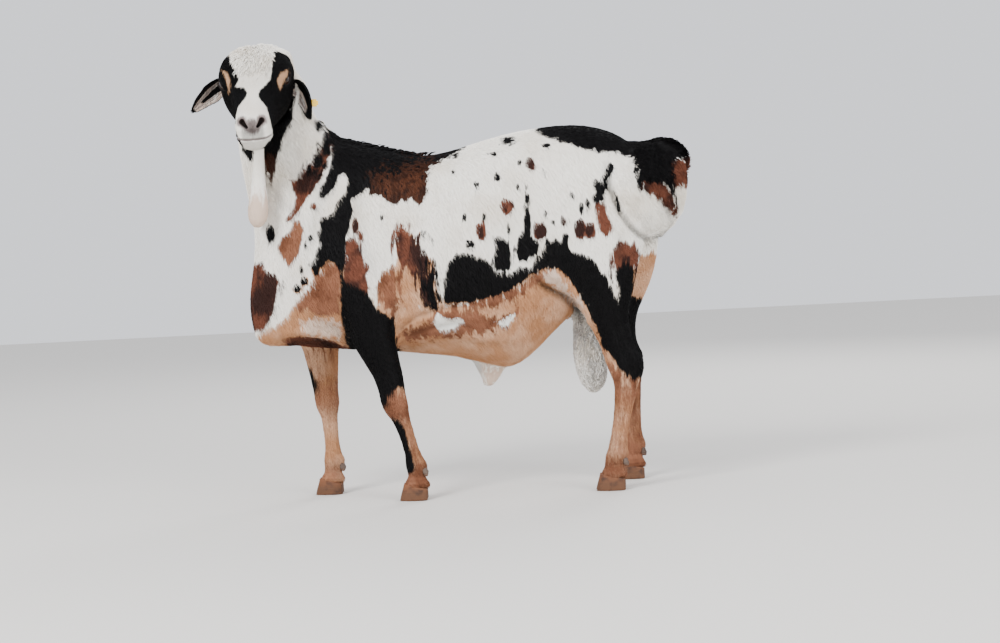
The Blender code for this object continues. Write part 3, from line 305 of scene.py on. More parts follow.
# Markings: colour, side of the body, width of the blend at the edge in millimetres, outline
MARKS = {
    "brisket": ("tan", "both", 4.0, [
        (-27.7, 48.6), (-26.5, 49.5), (-24.6, 52), (-22.7, 51.2), (-21.9, 49.3), (-21.8, 40.7),
        (-18.8, 30.7), (-31.4, 29), (-43.1, 31), (-45, 36.4), (-40.6, 36.8), (-35.8, 38.9), (-34, 40.2),
        (-30.9, 44.7), (-28.2, 46.5)]),
    "belly": ("tan", "both", 3.0, [
        (-11.1, 41.7), (5.3, 41.7), (11.7, 43.3), (15.8, 45), (18, 46.8), (21.4, 48.3), (24.1, 47.9),
        (26.9, 44.4), (30.4, 37.5), (34.4, 25.5), (31.2, 20.8), (14.4, 19), (-11.7, 24), (-12.6, 36.7)]),
    "rib_patch": ("tan", "left", 2.5, [
        (-9.6, 58), (-8.2, 58.1), (-6.5, 56.8), (-5.1, 53.1), (-3.7, 50.3), (-2.8, 41.7), (-8.5, 41),
        (-11.3, 38.6), (-13.6, 40.7), (-14.6, 43.5), (-14.2, 46.9), (-13.1, 49.2), (-10.8, 50.3),
        (-9.9, 51.8), (-10.3, 54.9)]),
    "thigh_tan": ("tan", "both", 3.0, [
        (40.5, 48.8), (41.3, 50.3), (42.5, 49.3), (43.7, 50.1), (46.4, 50), (46, 41.4), (41.2, 40),
        (38.9, 39.9), (39.2, 43.5)]),
    "hock_tan": ("tan", "both", 3.0, [
        (29.8, 25.8), (31.7, 30.3), (37.1, 24.3), (39, 23.8), (41.1, 24.8), (46, 23.8), (46, -6.3),
        (25.8, -5.4)]),
    "shoulder_patch": ("ochre", "left", 2.5, [
        (-35, 55.2), (-33.9, 57.2), (-32, 58.7), (-31, 60.6), (-30, 60.5), (-29.3, 58.6), (-30.1, 55.1),
        (-31.2, 52.8), (-32.8, 50.9), (-33.7, 53)]),
    "belly_streak": ("ochre", "both", 5.0, [
        (-10.1, 36.6), (-4.8, 38), (-1.5, 40.4), (4.8, 40.3), (10, 38.1), (14.7, 39.2), (12, 36.1),
        (4.6, 35), (-9.4, 34.5)]),
    "rib_brown": ("chestnut", "left", 7.0, RIB_BROWN),
    "rib_brown_edge": ("ochre", "left", 3.0, RIB_BROWN),
    "far_elbow": ("tan", "right", 3.0, [
        (-23, 39), (-16, 44), (-9, 41), (-7, 22), (-24, 22)]),
    "chest": ("chestnut", "both", 2.5, [
        (-40.5, 53.3), (-39.6, 52.3), (-38, 52.6), (-37.9, 50.5), (-35.7, 49.4), (-34.7, 48.4),
        (-35.7, 45.3), (-36.5, 41.4), (-39, 38.1), (-42.4, 38.6), (-45.4, 43.5), (-44.6, 52.5)]),
    "throat": ("black", "both", 3.0, [
        (-36.4, 83.5), (-34, 88), (-29.6, 88), (-30.2, 82.4), (-33, 77), (-35.7, 68.2), (-36.7, 71.2),
        (-37.4, 76.1)]),
    "throat_front": ("black", "left", 1.5, [
        (-41.4, 77), (-38.7, 77), (-38.8, 74), (-39.6, 73.9), (-40.4, 74.8)]),
    "throat_brown": ("rust", "both", 8.0, [
        (-37, 74.4), (-34.4, 74.7), (-34.6, 71.3), (-35.7, 68.2), (-36.9, 70.4)]),
    "rump_brown": ("chestnut", "left", 3.0, [
        (32.3, 61.4), (33.9, 61.3), (34.4, 59.2), (35.4, 56.6), (35.3, 54.4), (32.9, 54.7),
        (32.4, 57.6)]),
    # Reddish brown painted in the hollow under the brisket, as shade
    "brisket_hollow_painted_shade": ("chestnut", "both", 2.5, [
        (-34.9, 36), (-31.2, 36.5), (-25.9, 35.6), (-20.4, 33.4), (-21, 30.5), (-29.2, 31),
        (-34, 33.4)]),
    "tail_brown": ("chestnut", "both", 3.0, [
        (41.4, 64), (42.5, 66.2), (44.8, 66.3), (46.6, 65.6), (48.8, 61.2), (49.2, 57.9), (48.5, 58),
        (44.5, 62.5)]),
    "tail_brown_end": ("chestnut", "both", 3.0, [
        (48, 70), (54, 69.5), (54, 64.2), (50.1, 64.2), (49.1, 63.6), (47.6, 64.8), (47.6, 68.3)]),
    "neck_stripe": ("chestnut", "left", 2.0, [
        (-23.7, 79.9), (-24.9, 75.8), (-26.2, 73.5), (-30.3, 69.4), (-31.9, 69.4), (-31, 67.7),
        (-30.3, 65.6), (-30.9, 63.5), (-33.1, 60.6), (-31.7, 60.6), (-25.2, 68.9), (-23.7, 71.9),
        (-22.9, 74.1), (-21.6, 79.8)]),
    "thigh_brown": ("chestnut", "left", 4.0, [
        (34.9, 48.7), (35.3, 50.8), (36.3, 52.4), (37.6, 53.2), (40.6, 52), (41.5, 50.3), (39.8, 46),
        (38.7, 44.4), (36.8, 44.9), (35.3, 46.3)]),
    "saddle": ("black", "both", 2.0, [
        (-24.4, 83), (-23, 76.6), (-22.6, 76.4), (-22.5, 74.4), (-22.9, 71.8), (-24, 69.1),
        (-25.6, 66.5), (-25.8, 65), (-24.5, 64.9), (-22.2, 67.3), (-21.1, 69.8), (-19.7, 69.9),
        (-19.4, 68.5), (-19.9, 66.2), (-20.5, 64.7), (-19.3, 64.6), (-16.9, 65.5), (-15.3, 66.8),
        (-14.8, 65.1), (-13.6, 65.6), (-12.5, 65), (-11.4, 63.4), (-9.3, 63.3), (-8.4, 64), (-7.3, 63.6),
        (-6.3, 64.4), (-4.9, 62.4), (-3.9, 63.1), (-3.1, 66.2), (-2.6, 69.9), (-1.6, 70.9), (2.9, 72.6),
        (4.6, 73.8), (4.6, 80), (-7.8, 83), (-19.3, 84)]),
    "band": ("black", "left", 2.0, [
        (-19.8, 66.8), (-23.4, 61.4), (-25.3, 61.1), (-25.8, 59.9), (-25.6, 58.8), (-26.3, 57.8),
        (-25.9, 55.5), (-26.8, 54), (-27.8, 50.7), (-27.7, 48.6), (-26.5, 49.5), (-24.6, 52),
        (-22.7, 51.2), (-22, 49.7), (-22.3, 40.7), (-21.8, 34), (-16, 22.5), (-14.3, 20.4), (-12.6, 24),
        (-9, 24), (-9.7, 26.4), (-10.2, 30.3), (-11.2, 35.2), (-11.3, 39), (-14.7, 41.5), (-16.6, 44.9),
        (-19.1, 46.4), (-21.2, 47.3), (-21.3, 49.6), (-20.7, 52.3), (-20.5, 56.2), (-19.2, 60),
        (-18.7, 62.3)]),
    "thigh_black": ("black", "left", 2.0, [
        (-1.2, 41.6), (0, 48.3), (1.4, 51.8), (4.6, 51.9), (7.1, 51.3), (9.5, 49.7), (10.7, 48),
        (13.4, 47.4), (16, 48.6), (18.1, 48.5), (20.3, 51.3), (21.7, 54.2), (24.4, 53.6), (25.7, 54.4),
        (26.4, 51.8), (28.7, 50.9), (31, 49.5), (33, 46.8), (34.4, 44.2), (35.7, 40.5), (36.3, 42.4),
        (36.4, 43.9), (35.3, 45), (35.4, 47.4), (38, 48.5), (40.1, 47.1), (38.9, 40.5), (39.6, 39.6),
        (43, 39.3), (46, 38.5), (46, 26.5), (43, 24.6), (39, 23.8), (37.1, 24.3), (32, 31.6),
        (30.3, 37.1), (28.8, 40.6), (26.9, 44), (24.9, 46.9), (23.3, 48), (20.6, 48.1), (18, 46.8),
        (15.8, 45), (11.7, 43.3), (5.3, 41.7)]),
    "dorsal": ("black", "both", 2.0, [
        (19.1, 77.5), (20.5, 82), (34.1, 82), (45.5, 80), (45.3, 73.7), (40.3, 70.4), (36.8, 71.8),
        (34.9, 71.7), (30.4, 72.8), (21.9, 75.5)]),
    "rump_marks": ("black", "left", 1.5, [
        (35.3, 69.7), (36.5, 69), (35.7, 66.6), (34.7, 65.5), (35, 64.4), (34.1, 63.4), (33.8, 61.6),
        (32.5, 61.2), (31.6, 62), (32.4, 63.5), (31.5, 65.6), (32.6, 66.3), (33.8, 65.3), (34, 66.5)]),
    "tail_black": ("black", "both", 2.5, [
        (38.7, 73.1), (39.9, 71.1), (40.7, 69), (40.9, 66.1), (41.3, 64.2), (42.4, 65.2), (44.6, 65.3),
        (46.5, 64.6), (48.1, 63), (48.9, 60.6), (48.6, 68.5), (49.3, 69.8), (58, 69.6), (58, 79),
        (46.5, 79), (39.2, 77.7)]),
    "oval_a": ("black", "left", 2.0, [
        (10.6, 55.3), (11.7, 55.5), (13.3, 54.2), (14, 51.8), (13.9, 48.5), (13, 47.4), (10.7, 48.2),
        (9.7, 49.9), (10.7, 52.4)]),
    "oval_b": ("black", "left", 2.0, [
        (17, 61.3), (17.8, 60.8), (18.3, 57.9), (18.4, 54.9), (19.6, 53.4), (19.3, 51.5), (17.1, 49.6),
        (15.2, 50.5), (14.7, 52.6), (15.6, 54.7), (16.8, 56.7)]),
    "rib_dark": ("black", "left", 6.0, [
        (-4.7, 51), (-3.1, 50.8), (-2.1, 47.8), (-2.2, 45), (-1.3, 42), (-3.4, 41.4), (-4.4, 45.3)]),
    "rib_umber": ("umber", "left", 6.0, [
        (-6.9, 56.7), (-3.1, 51), (-2.1, 47.8), (-2.2, 45), (-1.3, 42), (-2.7, 41.2), (-5, 41.8),
        (-5.8, 45.4), (-6.1, 49.3), (-6.9, 53.2)]),
    "thigh_mottle": ("umber", "left", 8.0, [
        (35.7, 48.8), (37.8, 49.4), (39.3, 47.8), (39.2, 41.8), (36.5, 41.9), (35.3, 46.3)]),
    "chest_dark": ("umber", "both", 8.0, [
        (-37.2, 49.4), (-35.5, 49.2), (-34.9, 47.6), (-35.7, 45.3), (-36.4, 41.4), (-38.8, 41.2),
        (-41.6, 42.5), (-41.4, 45.6)]),
    "neck_stripe_umber": ("umber", "left", 9.0, [
        (-25.6, 75), (-28.3, 71.3), (-30.1, 69.8), (-30.2, 67.6), (-28.6, 66.2), (-26.4, 67.6),
        (-23.6, 72.5)]),
    "neck_stripe_dark": ("black", "left", 8.0, [
        (-24.2, 81.9), (-23.8, 79.4), (-25, 75.6), (-26.2, 73.4), (-27.6, 71.6), (-27.1, 69.9),
        (-25, 70.3), (-23.7, 72.2), (-22, 78.8)]),
    "knee_dark": ("black", "left", 5.0, [
        (-15.7, 26.4), (-12.9, 22.8), (-13.9, 21), (-15, 22.5)]),
    "cannon_stripe": ("black", "left", 3.0, [
        (-13, 18.4), (-11.1, 17.6), (-10.1, 15.7), (-8.3, 7.3), (-9, 6.3), (-10.4, 6.7), (-11.3, 11.9),
        (-12.7, 16.5)]),
    "far_knee_dark": ("black", "right", 3.5, [
        (-34.5, 33), (-32.2, 30.6), (-30.4, 28.3), (-29.2, 26.3), (-28.9, 25), (-29.3, 23.8),
        (-30, 22.9), (-34.5, 23.5)]),
    "saddle_chestnut": ("rust", "both", 14.0, [
        (-15, 63.8), (-14, 69.2), (-9, 69.9), (-5.4, 71.3), (-2.2, 71.5), (-2.2, 65.4), (-3.4, 62),
        (-4.9, 61.4)]),
    "band_brown": ("chestnut", "left", 3.0, [
        (-19.7, 56.5), (-18.6, 56.1), (-17.4, 55.1), (-16.7, 48.2), (-16.1, 46.3), (-16.5, 44.7),
        (-21.5, 46.1), (-21.7, 49.3), (-20.6, 55.8)]),
    "brisket_ochre": ("ochre", "both", 6.0, [
        (-27.7, 48.6), (-26.5, 49.5), (-24.6, 52), (-22.7, 51.2), (-22, 49.7), (-22, 44.6),
        (-22.3, 41.1), (-24.9, 40.3), (-27.2, 40.6), (-29.1, 41.9), (-31.4, 41.6), (-32.1, 43.2),
        (-30.5, 45), (-28.2, 46.5)]),
    "rib_low": ("ochre", "left", 6.0, [
        (-14.3, 45.8), (-13.2, 48.8), (-11.9, 49.9), (-10, 49.8), (-9.3, 47.9), (-10.3, 44),
        (-10.5, 40.9), (-11.7, 39.8), (-13.2, 41.1), (-14.2, 43.1)]),
    "belly_ochre": ("ochre", "both", 6.0, [
        (0.1, 41.6), (5.3, 42.2), (11.8, 43.6), (17.1, 45.5), (18.9, 47.1), (22.7, 47.8), (21.4, 46.1),
        (16.1, 42.9), (11.7, 41), (5.2, 39.8), (0, 39.9)]),
    "tail_gap": ("black", "left", 1.5, [
        (35.4, 64), (36.3, 63.3), (37.2, 61), (37.6, 58.8), (36.9, 59.1)]),
    # Pale hair of the brisket, with a painted highlight on the lip of its fold
    "brisket_pale_hair_and_highlight": ("bare", "both", 8.0, [
        (-30.2, 39.4), (-27.2, 39.9), (-24.1, 39.7), (-23.2, 39), (-22.2, 35.4), (-30.3, 37.2)]),
    # Painted highlight on the web of skin beside the flank fold
    "flank_web_painted_highlight": ("bare", "both", 6.0, [
        (20.6, 46.8), (22.7, 46.9), (24.7, 44.7), (27.2, 41.3), (28.7, 38), (22.1, 44.3)]),
    "belly_white_a": ("white", "left", 2.0, [
        (-3.5, 37.8), (-1.9, 39.6), (-0.1, 38.6), (3.3, 38.5), (2.3, 36.8), (0.4, 36.1), (-2.1, 36.4)]),
    "belly_white_b": ("white", "left", 2.0, [
        (10.1, 37.3), (12.1, 37.8), (14, 39), (14.2, 37.9), (12.2, 36.5), (10.3, 36.6)]),
    "far_rib": ("chestnut", "right", 3.0, [
        (-10, 58), (-6, 63), (-3, 58), (1, 55), (0, 50), (3, 45), (-3, 41), (-8, 43), (-12, 40),
        (-14, 46), (-12, 51), (-14, 55)]),
    "far_shoulder": ("chestnut", "right", 3.0, [
        (-31, 65), (-28, 67), (-25, 71), (-22, 66), (-20, 62), (-22, 57), (-19, 52), (-22, 47),
        (-21, 40), (-26, 42), (-30, 45), (-29, 51), (-34, 55), (-33, 61)]),
    "far_flank": ("black", "right", 2.0, [
        (9, 60), (11, 63), (15, 66), (17, 61), (21, 58), (20, 54), (25, 52), (28, 47), (29, 43),
        (18, 43), (10, 40), (4, 42), (0, 43), (1, 48), (5, 50), (4, 55)]),
    "far_thigh": ("black", "right", 2.0, [
        (30, 60), (33, 66), (35, 60), (39, 57), (39, 52), (38.5, 47), (38.3, 41.2), (41, 40.6),
        (46, 40.2), (46, 24), (37, 25), (34, 33), (31, 40), (28, 45), (30, 51), (27, 55)]),
}
FACE_OUTLINES = {
    "mask_right": [
        (-42.2, 99.5), (-42.6, 95.6), (-42.1, 93.5), (-41.3, 91.6), (-41.1, 90.7), (-41.9, 89.3),
        (-40.2, 89), (-39.3, 87.9), (-39.7, 86.9), (-41.5, 84.9), (-42, 83.5), (-42.1, 81.9),
        (-42.5, 81), (-42, 79.3), (-40.9, 76.8), (-40.4, 74.6), (-54.2, 73), (-52.9, 99.5)],
    "mask_left": [
        (-32.8, 99), (-33.7, 94.5), (-34.3, 90.5), (-35.6, 89.2), (-36.5, 88.5), (-37.2, 87.6),
        (-36.6, 86), (-35.4, 84.6), (-34.5, 78.7), (-35.3, 77.7), (-37.4, 75.7), (-37.4, 67.4),
        (-27, 67), (-21, 99)],
    "brow_right": [
        (-44.4, 93), (-43.3, 92.5), (-42.7, 90.9), (-43, 88.5), (-43.3, 87.7)],
    "brow_left": [
        (-30.5, 92.4), (-30.4, 91.5), (-31.4, 90), (-32.6, 87.8), (-33.2, 90.1), (-32.3, 91.8)],
}
# Small spots of the left side: x, z, half width, half height in centimetres
SPOTS = {
    "chestnut": [
        (13.5, 61.3, 1.5, 1.7), (18.9, 70.1, 1.0, 1.4), (8, 56.6, 1.0, 1.9), (20.2, 56.1, 1.4, 1.9),
        (28.7, 55.8, 1.5, 2.1), (30.9, 55.5, 1.1, 1.8), (25.4, 57.7, 0.8, 1.2), (-18.4, 59, 0.7, 1.5),
        (-17.4, 56.8, 0.6, 0.9), (-16.4, 50, 0.6, 1.0), (-26.9, 63.5, 0.8, 1.0),
    ],
    "umber": [
        (28.5, 56, 1.3, 1.9), (30.8, 55.6, 0.9, 1.5), (20.4, 56, 1.2, 1.7), (25.4, 57.7, 0.8, 1.2),
        (13.2, 61, 0.6, 0.9), (7.8, 56.4, 0.5, 1.2), (18.8, 70, 0.7, 1.1), (-18.4, 59, 0.5, 1.2),
    ],
    "black": [
        (14.2, 74.9, 1.5, 0.8), (2.8, 72.6, 0.8, 0.6), (4.1, 74.1, 0.7, 0.4), (11.5, 72.3, 0.9, 0.5),
        (11.8, 67.7, 0.5, 0.8), (16.6, 70.2, 0.35, 0.8), (19, 72.5, 0.4, 0.4), (22.3, 73.7, 0.8, 0.5),
        (21.6, 68.4, 0.3, 0.8), (7.3, 66.3, 0.4, 0.7), (17.8, 65.6, 0.3, 0.8), (16.1, 65.4, 0.3, 0.6),
        (18, 63, 0.5, 1.0), (27.3, 63.2, 0.4, 0.6), (29.3, 60.3, 0.5, 1.0), (30.6, 61.3, 0.4, 0.9),
        (4.7, 59.6, 0.35, 0.8), (8.7, 59.6, 0.3, 0.6), (13.7, 56.6, 0.3, 0.8), (-2.8, 55.3, 0.4, 0.8),
        (-4.2, 56.6, 0.3, 0.8), (2.6, 69.3, 0.4, 0.4), (21.6, 59.6, 0.3, 0.7), (22.8, 57.6, 0.4, 0.4),
        (-12.8, 60.5, 0.35, 0.8), (5.5, 54, 1.0, 0.8), (25.6, 54.3, 0.8, 1.0), (-29.7, 47.9, 0.9, 0.9),
        (-31.1, 46.5, 0.9, 0.8), (-27.9, 56.9, 0.6, 0.8), (-30.2, 50.4, 0.4, 0.8), (-28.2, 51.2, 0.5, 0.8),
        (-29.1, 55.4, 0.4, 0.8), (-36.2, 58.3, 0.9, 1.9), (-25.2, 80.5, 0.8, 1.3),
    ],
}
SPOT_EDGE = 0.0015
# Spots of the side that the photo doesn't show: how many, and the ranges of x, z, half width and height
FAR_SPOTS = 26
FAR_SPOT_RANGES = ((-2, 32), (57, 74), (0.35, 1.3), (0.5, 1.6))
FAR_SPOT_SEED = 41

COAT_COLOURS = {
    "cream": "#F3EFE7", "cream_shade": "#E6DED1", "tan": "#B5845F", "tan_pale": "#CDA484",
    "ochre": "#8A5C45", "ochre_deep": "#6E4531", "chestnut": "#6A3F30", "umber": "#33201C",
    "rust": "#54301F", "black": "#060506", "white": "#F0EEE8", "bare": "#D0B8A6", "nose": "#7B706D",
    "hole": "#1D1513", "grey": "#D2CFCA", "brow": "#C19A79",
}
# The colours that are laid over the cream, and the farthest distance that their fields hold
COLOURS = ("tan", "ochre", "chestnut", "umber", "black", "rust", "brow", "white", "bare", "grey", "nose", "hole")
FAR = 10.0
# Colours that mix with a second one: patches to the metre, from and to which value of the noise
MOTTLES = {
    "cream": ("cream_shade", 9.0, 0.42, 0.75), "tan": ("tan_pale", 14.0, 0.38, 0.66),
    "ochre": ("ochre_deep", 20.0, 0.40, 0.64), "chestnut": ("umber", 24.0, 0.42, 0.66),
}
# Stretch of the noise along the hair: strands and locks to the metre, across and down
STRANDS = (380.0, 380.0, 60.0)
LOCKS = (95.0, 95.0, 17.0)
HAIR_SLANT = (0.0, 0.38, 0.0)
HORN_DARK = "#3A281F"
HORN_PALE = "#5C3D29"
HORN_CROWN = "#76492F"
DEWCLAW_GREY = "#5F5047"
TAG_YELLOW = "#F2C21B"
EYE_BROWN = "#2A1508"
EYE_RIM = "#1B100C"
PUPIL = "#020203"
# Iris and pupil: stretch across and up, from and to which distance they fade, colour
EYE_RINGS = (
    ((1.0, 1.0, 0.0), 0.0098, 0.0088, EYE_BROWN),
    ((1.0 / 0.0052, 1.0 / 0.0023, 0.0), 1.08, 0.92, PUPIL),
)
# Colours of the horn over its pale edge: from and to which height they begin
HORN_LEVELS = ((0.016, 0.034, HORN_CROWN), (0.046, 0.056, DEWCLAW_GREY))
# Size of the grid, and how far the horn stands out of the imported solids
HORNS = {"hoof": (0.0019, -0.0004), "dewclaw": (0.0012, 0.0010)}
FLOOR_GREY = "#D9D6D1"

HORN_RING = 0.00035
HORN_RING_SPACING = 0.0042
DEWCLAW_REACH = 0.016
DEWCLAW_DROP = 0.005
DEWCLAW_TALL = 1.45
TAG_SIZE = (0.0190, 0.0018, 0.0160)
TAG_TURN = math.radians(24.0)
TAG_CORNER = 0.0035
TAG_EDGE = 0.0003
TAG_BUTTON = {"radius1": 0.0030, "radius2": 0.0030, "depth": 0.0016}

BLADE_BENDS = {"straight": 0, "bent": 3}
COAT_INPUTS = {
    "Geometry": "Geometry", "Region": "String", "Blade": "Object", "Density": "Float", "Length": "Float",
    "Width": "Float", "Height": "Float", "Lift": "Float", "Stray": "Float", "Seed": "Int", "Material": "Material",
}
# What differs from tuft to tuft by chance: lowest, highest, seed
TUFT_CHANCES = {
    "Lift": (-1.6, -0.5, 11), "Stray": (-1.0, 1.0, 12), "Roll": (-0.5, 0.5, 13),
    "Length": (0.65, 1.25, 14), "Width": (0.7, 1.3, 15), "Shade": (0.0, 1.0, 16),
}
# Side of a tuft's patch in the baked picture, as a share of it
PATCH_SIDE = 0.003
# Blade, lift and stray of most tufts
SHORT = ("straight", 0.10, 0.22)
# Piece and region: tufts to the square metre, length, width, height, blade, lift, stray, slot
COAT = {
    "coat_torso_left_front": (105000, 0.0120, 0.00095, 0.00050, *SHORT, "body_coat"),
    "coat_torso_left_back": (105000, 0.0120, 0.00095, 0.00050, *SHORT, "body_coat"),
    "coat_torso_right_front": (105000, 0.0120, 0.00095, 0.00050, *SHORT, "body_coat"),
    "coat_torso_right_back": (105000, 0.0120, 0.00095, 0.00050, *SHORT, "body_coat"),
    "coat_neck": (150000, 0.0130, 0.00090, 0.00050, "straight", 0.12, 0.25, "body_coat"),
    "coat_leg_fore_left": (210000, 0.0075, 0.00070, 0.00040, "straight", 0.09, 0.20, "leg_coat"),
    "coat_leg_fore_right": (210000, 0.0075, 0.00070, 0.00040, "straight", 0.09, 0.20, "leg_coat"),
    "coat_leg_hind_left": (190000, 0.0080, 0.00075, 0.00040, "straight", 0.09, 0.20, "leg_coat"),
    "coat_leg_hind_right": (190000, 0.0080, 0.00075, 0.00040, "straight", 0.09, 0.20, "leg_coat"),
    "coat_tail": (200000, 0.0130, 0.00090, 0.00050, "straight", 0.13, 0.30, "tail_coat"),
    "coat_face": (520000, 0.0060, 0.00055, 0.00030, "straight", 0.12, 0.24, "face_coat"),
    "coat_muzzle": (700000, 0.0042, 0.00045, 0.00025, "straight", 0.11, 0.22, "face_coat"),
    "coat_ears": (500000, 0.0060, 0.00050, 0.00028, *SHORT, "dark_ear"),
    "coat_thin": (220000, 0.0060, 0.00055, 0.00030, "straight", 0.10, 0.30, "thin_coat"),
    "coat_scrotum": (250000, 0.0090, 0.00090, 0.00050, "straight", 0.16, 0.50, "wool"),
    "locks_forehead": (85000, 0.0165, 0.0023, 0.0015, "bent", 0.09, 0.42, "face_coat"),
    "locks_withers": (90000, 0.0170, 0.0009, 0.0020, "bent", 0.34, 0.40, "black_hair"),
    "locks_tail": (60000, 0.0140, 0.0010, 0.0018, "bent", 0.14, 0.40, "black_hair"),
    "locks_scrotum": (90000, 0.0100, 0.0012, 0.0022, "bent", 0.22, 0.90, "wool"),
}
FIRST_SEED = 3


def linear(code):
    """Linear colour of an sRGB hex value."""
    parts = [int(code[i:i + 2], 16) / 255.0 for i in (1, 3, 5)]
    return tuple(c / 12.92 if c <= 0.04045 else ((c + 0.055) / 1.055) ** 2.4 for c in parts) + (1.0,)


def ramp(value, low, high):
    """Smooth step from 0 at low to 1 at high; also falling, where low is above high."""
    share = np.clip((value - low) / (high - low), 0.0, 1.0)
    return share * share * (3.0 - 2.0 * share)


def bell(value, middle, reach):
    """Smooth swelling of height 1 round the middle."""
    return np.exp(-((value - middle) / reach) ** 2)


def clipped(values):
    return np.clip(values, -FAR, FAR)


def smooth_rows(rows, steps):
    """Rows of numbers on a smooth curve, with steps rows for each gap between two given ones."""
    rows = np.array(rows, float)
    padded = np.vstack((2 * rows[0] - rows[1], rows, 2 * rows[-1] - rows[-2]))
    curve = []
    for index in range(len(rows) - 1):
        a, b, c, d = padded[index:index + 4]
        for t in np.arange(steps) / steps:
            curve.append(0.5 * (2 * b + (c - a) * t + (2 * a - 5 * b + 4 * c - d) * t ** 2
                                + (3 * b - a - 3 * c + d) * t ** 3))
    curve.append(rows[-1])
    return np.array(curve)


def read(items, key, width, kind=np.float32):
    """One property of all items of a mesh, as rows."""
    values = np.empty(len(items) * width, kind)
    items.foreach_get(key, values)
    return values.reshape(-1, width)


def points_of(thing):
    return read(thing.data.vertices, "co", 3).astype(float)


def normals_of(thing):
    thing.data.update()
    return read(thing.data.vertices, "normal", 3).astype(float)


def edges_of(thing):
    return read(thing.data.edges, "vertices", 2, np.int32)


def move_points(thing, points):
    thing.data.vertices.foreach_set("co", points.astype(np.float32).ravel())
    thing.data.update()


def neighbour_mean(values, edges):
    """Mean of the neighbours' values at each vertex."""
    count = len(values)
    start = np.concatenate((edges[:, 0], edges[:, 1]))
    end = np.concatenate((edges[:, 1], edges[:, 0]))
    degree = np.maximum(np.bincount(start, minlength=count), 1)
    columns = [np.bincount(start, weights=values[end, axis], minlength=count) / degree
               for axis in range(values.shape[1])]
    return np.stack(columns, axis=1)


def relax(points, edges, rounds, strength, swell=0.0):
    """Smooths points; with swell each round is followed by one that keeps the volume."""
    strength = np.reshape(strength, (-1, 1))
    for _ in range(rounds):
        points = points + strength * (neighbour_mean(points, edges) - points)
        if swell:
            points = points - strength * swell * (neighbour_mean(points, edges) - points)
    return points


def new_object(name, data):
    thing = bpy.data.objects.new(name, data)
    bpy.context.scene.collection.objects.link(thing)
    return thing


@contextmanager
def editing(mesh):
    """Opens a mesh for edits and writes them back."""
    form = bmesh.new()
    form.from_mesh(mesh)
    yield form
    form.to_mesh(mesh)
    form.free()


def face_out(mesh):
    with editing(mesh) as form:
        bmesh.ops.recalc_face_normals(form, faces=form.faces[:])


def from_grid(name, grid):
    """A closed skin through rings of points, rows by columns, with a fan at each end."""
    rows, columns, _ = grid.shape
    ring = [(column, (column + 1) % columns) for column in range(columns)]
    points = list(grid.reshape(-1, 3))
    faces = []
    for row in range(rows - 1):
        low, high = row * columns, (row + 1) * columns
        faces += [(low + column, low + after, high + after, high + column) for column, after in ring]
    for row in (0, rows - 1):
        low, middle = row * columns, len(points)
        points.append(grid[row].mean(axis=0))
        faces += [(low + column, low + after, middle) for column, after in ring]
    mesh = bpy.data.meshes.new(name)
    mesh.from_pydata([tuple(point) for point in points], [], faces)
    face_out(mesh)
    return new_object(name, mesh)


def apply_modifiers(thing):
    graph = bpy.context.evaluated_depsgraph_get()
    mesh = bpy.data.meshes.new_from_object(thing.evaluated_get(graph))
    thing.modifiers.clear()
    thing.data = mesh


def voxel_form(name, nodes, voxel, gap):
    """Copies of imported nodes, merged and moved out by the gap, run together on a grid."""
    mesh = bpy.data.meshes.new(name)
    with editing(mesh) as form:
        for node in nodes:
            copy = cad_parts[node].data.copy()
            with editing(copy) as part:
                bmesh.ops.remove_doubles(part, verts=part.verts[:], dist=0.00001)
                part.normal_update()
                for vert in part.verts:
                    vert.co += vert.normal * gap
            form.from_mesh(copy)
            bpy.data.meshes.remove(copy)
    thing = new_object(name, mesh)
    grid = thing.modifiers.new("grid", "REMESH")
    grid.mode = "VOXEL"
    grid.voxel_size = voxel
    apply_modifiers(thing)
    return thing


def nearest(sources, points):
    """For each point the index of the nearest source point, and its distance."""
    tree = KDTree(len(sources))
    for index, spot in enumerate(sources):
        tree.insert(spot, index)
    tree.balance()
    found = [tree.find(point) for point in points]
    return np.array([hit[1] for hit in found]), np.array([hit[2] for hit in found])


def nearest_node(points, names):
    """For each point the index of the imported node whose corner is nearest."""
    corners = [read(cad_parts[name].data.vertices, "co", 3) for name in names]
    owners = np.repeat(np.arange(len(names)), [len(rows) for rows in corners])
    return owners[nearest(np.concatenate(corners), points)[0]]


def path_distance(points, path):
    """Distance of points, flat or not, from a line through given points."""
    path = np.array(path, float)
    best = np.full(len(points), np.inf)
    for start, end in zip(path, path[1:]):
        along = end - start
        share = np.clip(((points - start) @ along) / (along @ along), 0.0, 1.0)
        away = points - start - share[:, None] * along
        best = np.minimum(best, np.sqrt((away ** 2).sum(axis=1)))
    return best


def depth_inside(flat, outline, reach=0.04):
    """Distance inside an outline's edge in metres, below nought outside, followed as far as the reach."""
    corners = np.array(outline) / 100.0
    low = corners.min(axis=0) - reach
    high = corners.max(axis=0) + reach
    near = np.all((flat > low) & (flat < high), axis=1)
    depth = np.full(len(flat), -reach)
    if not near.any():
        return depth
    spots = flat[near]
    ring = np.vstack((corners, corners[:1]))
    edge = path_distance(spots, ring)
    within = np.zeros(len(spots), bool)
    for (x0, z0), (x1, z1) in zip(ring, ring[1:]):
        if z0 != z1:
            spans = (z0 > spots[:, 1]) != (z1 > spots[:, 1])
            within ^= spans & (spots[:, 0] < x0 + (spots[:, 1] - z0) * (x1 - x0) / (z1 - z0))
    depth[near] = np.where(within, edge, -edge)
    return depth


# Head

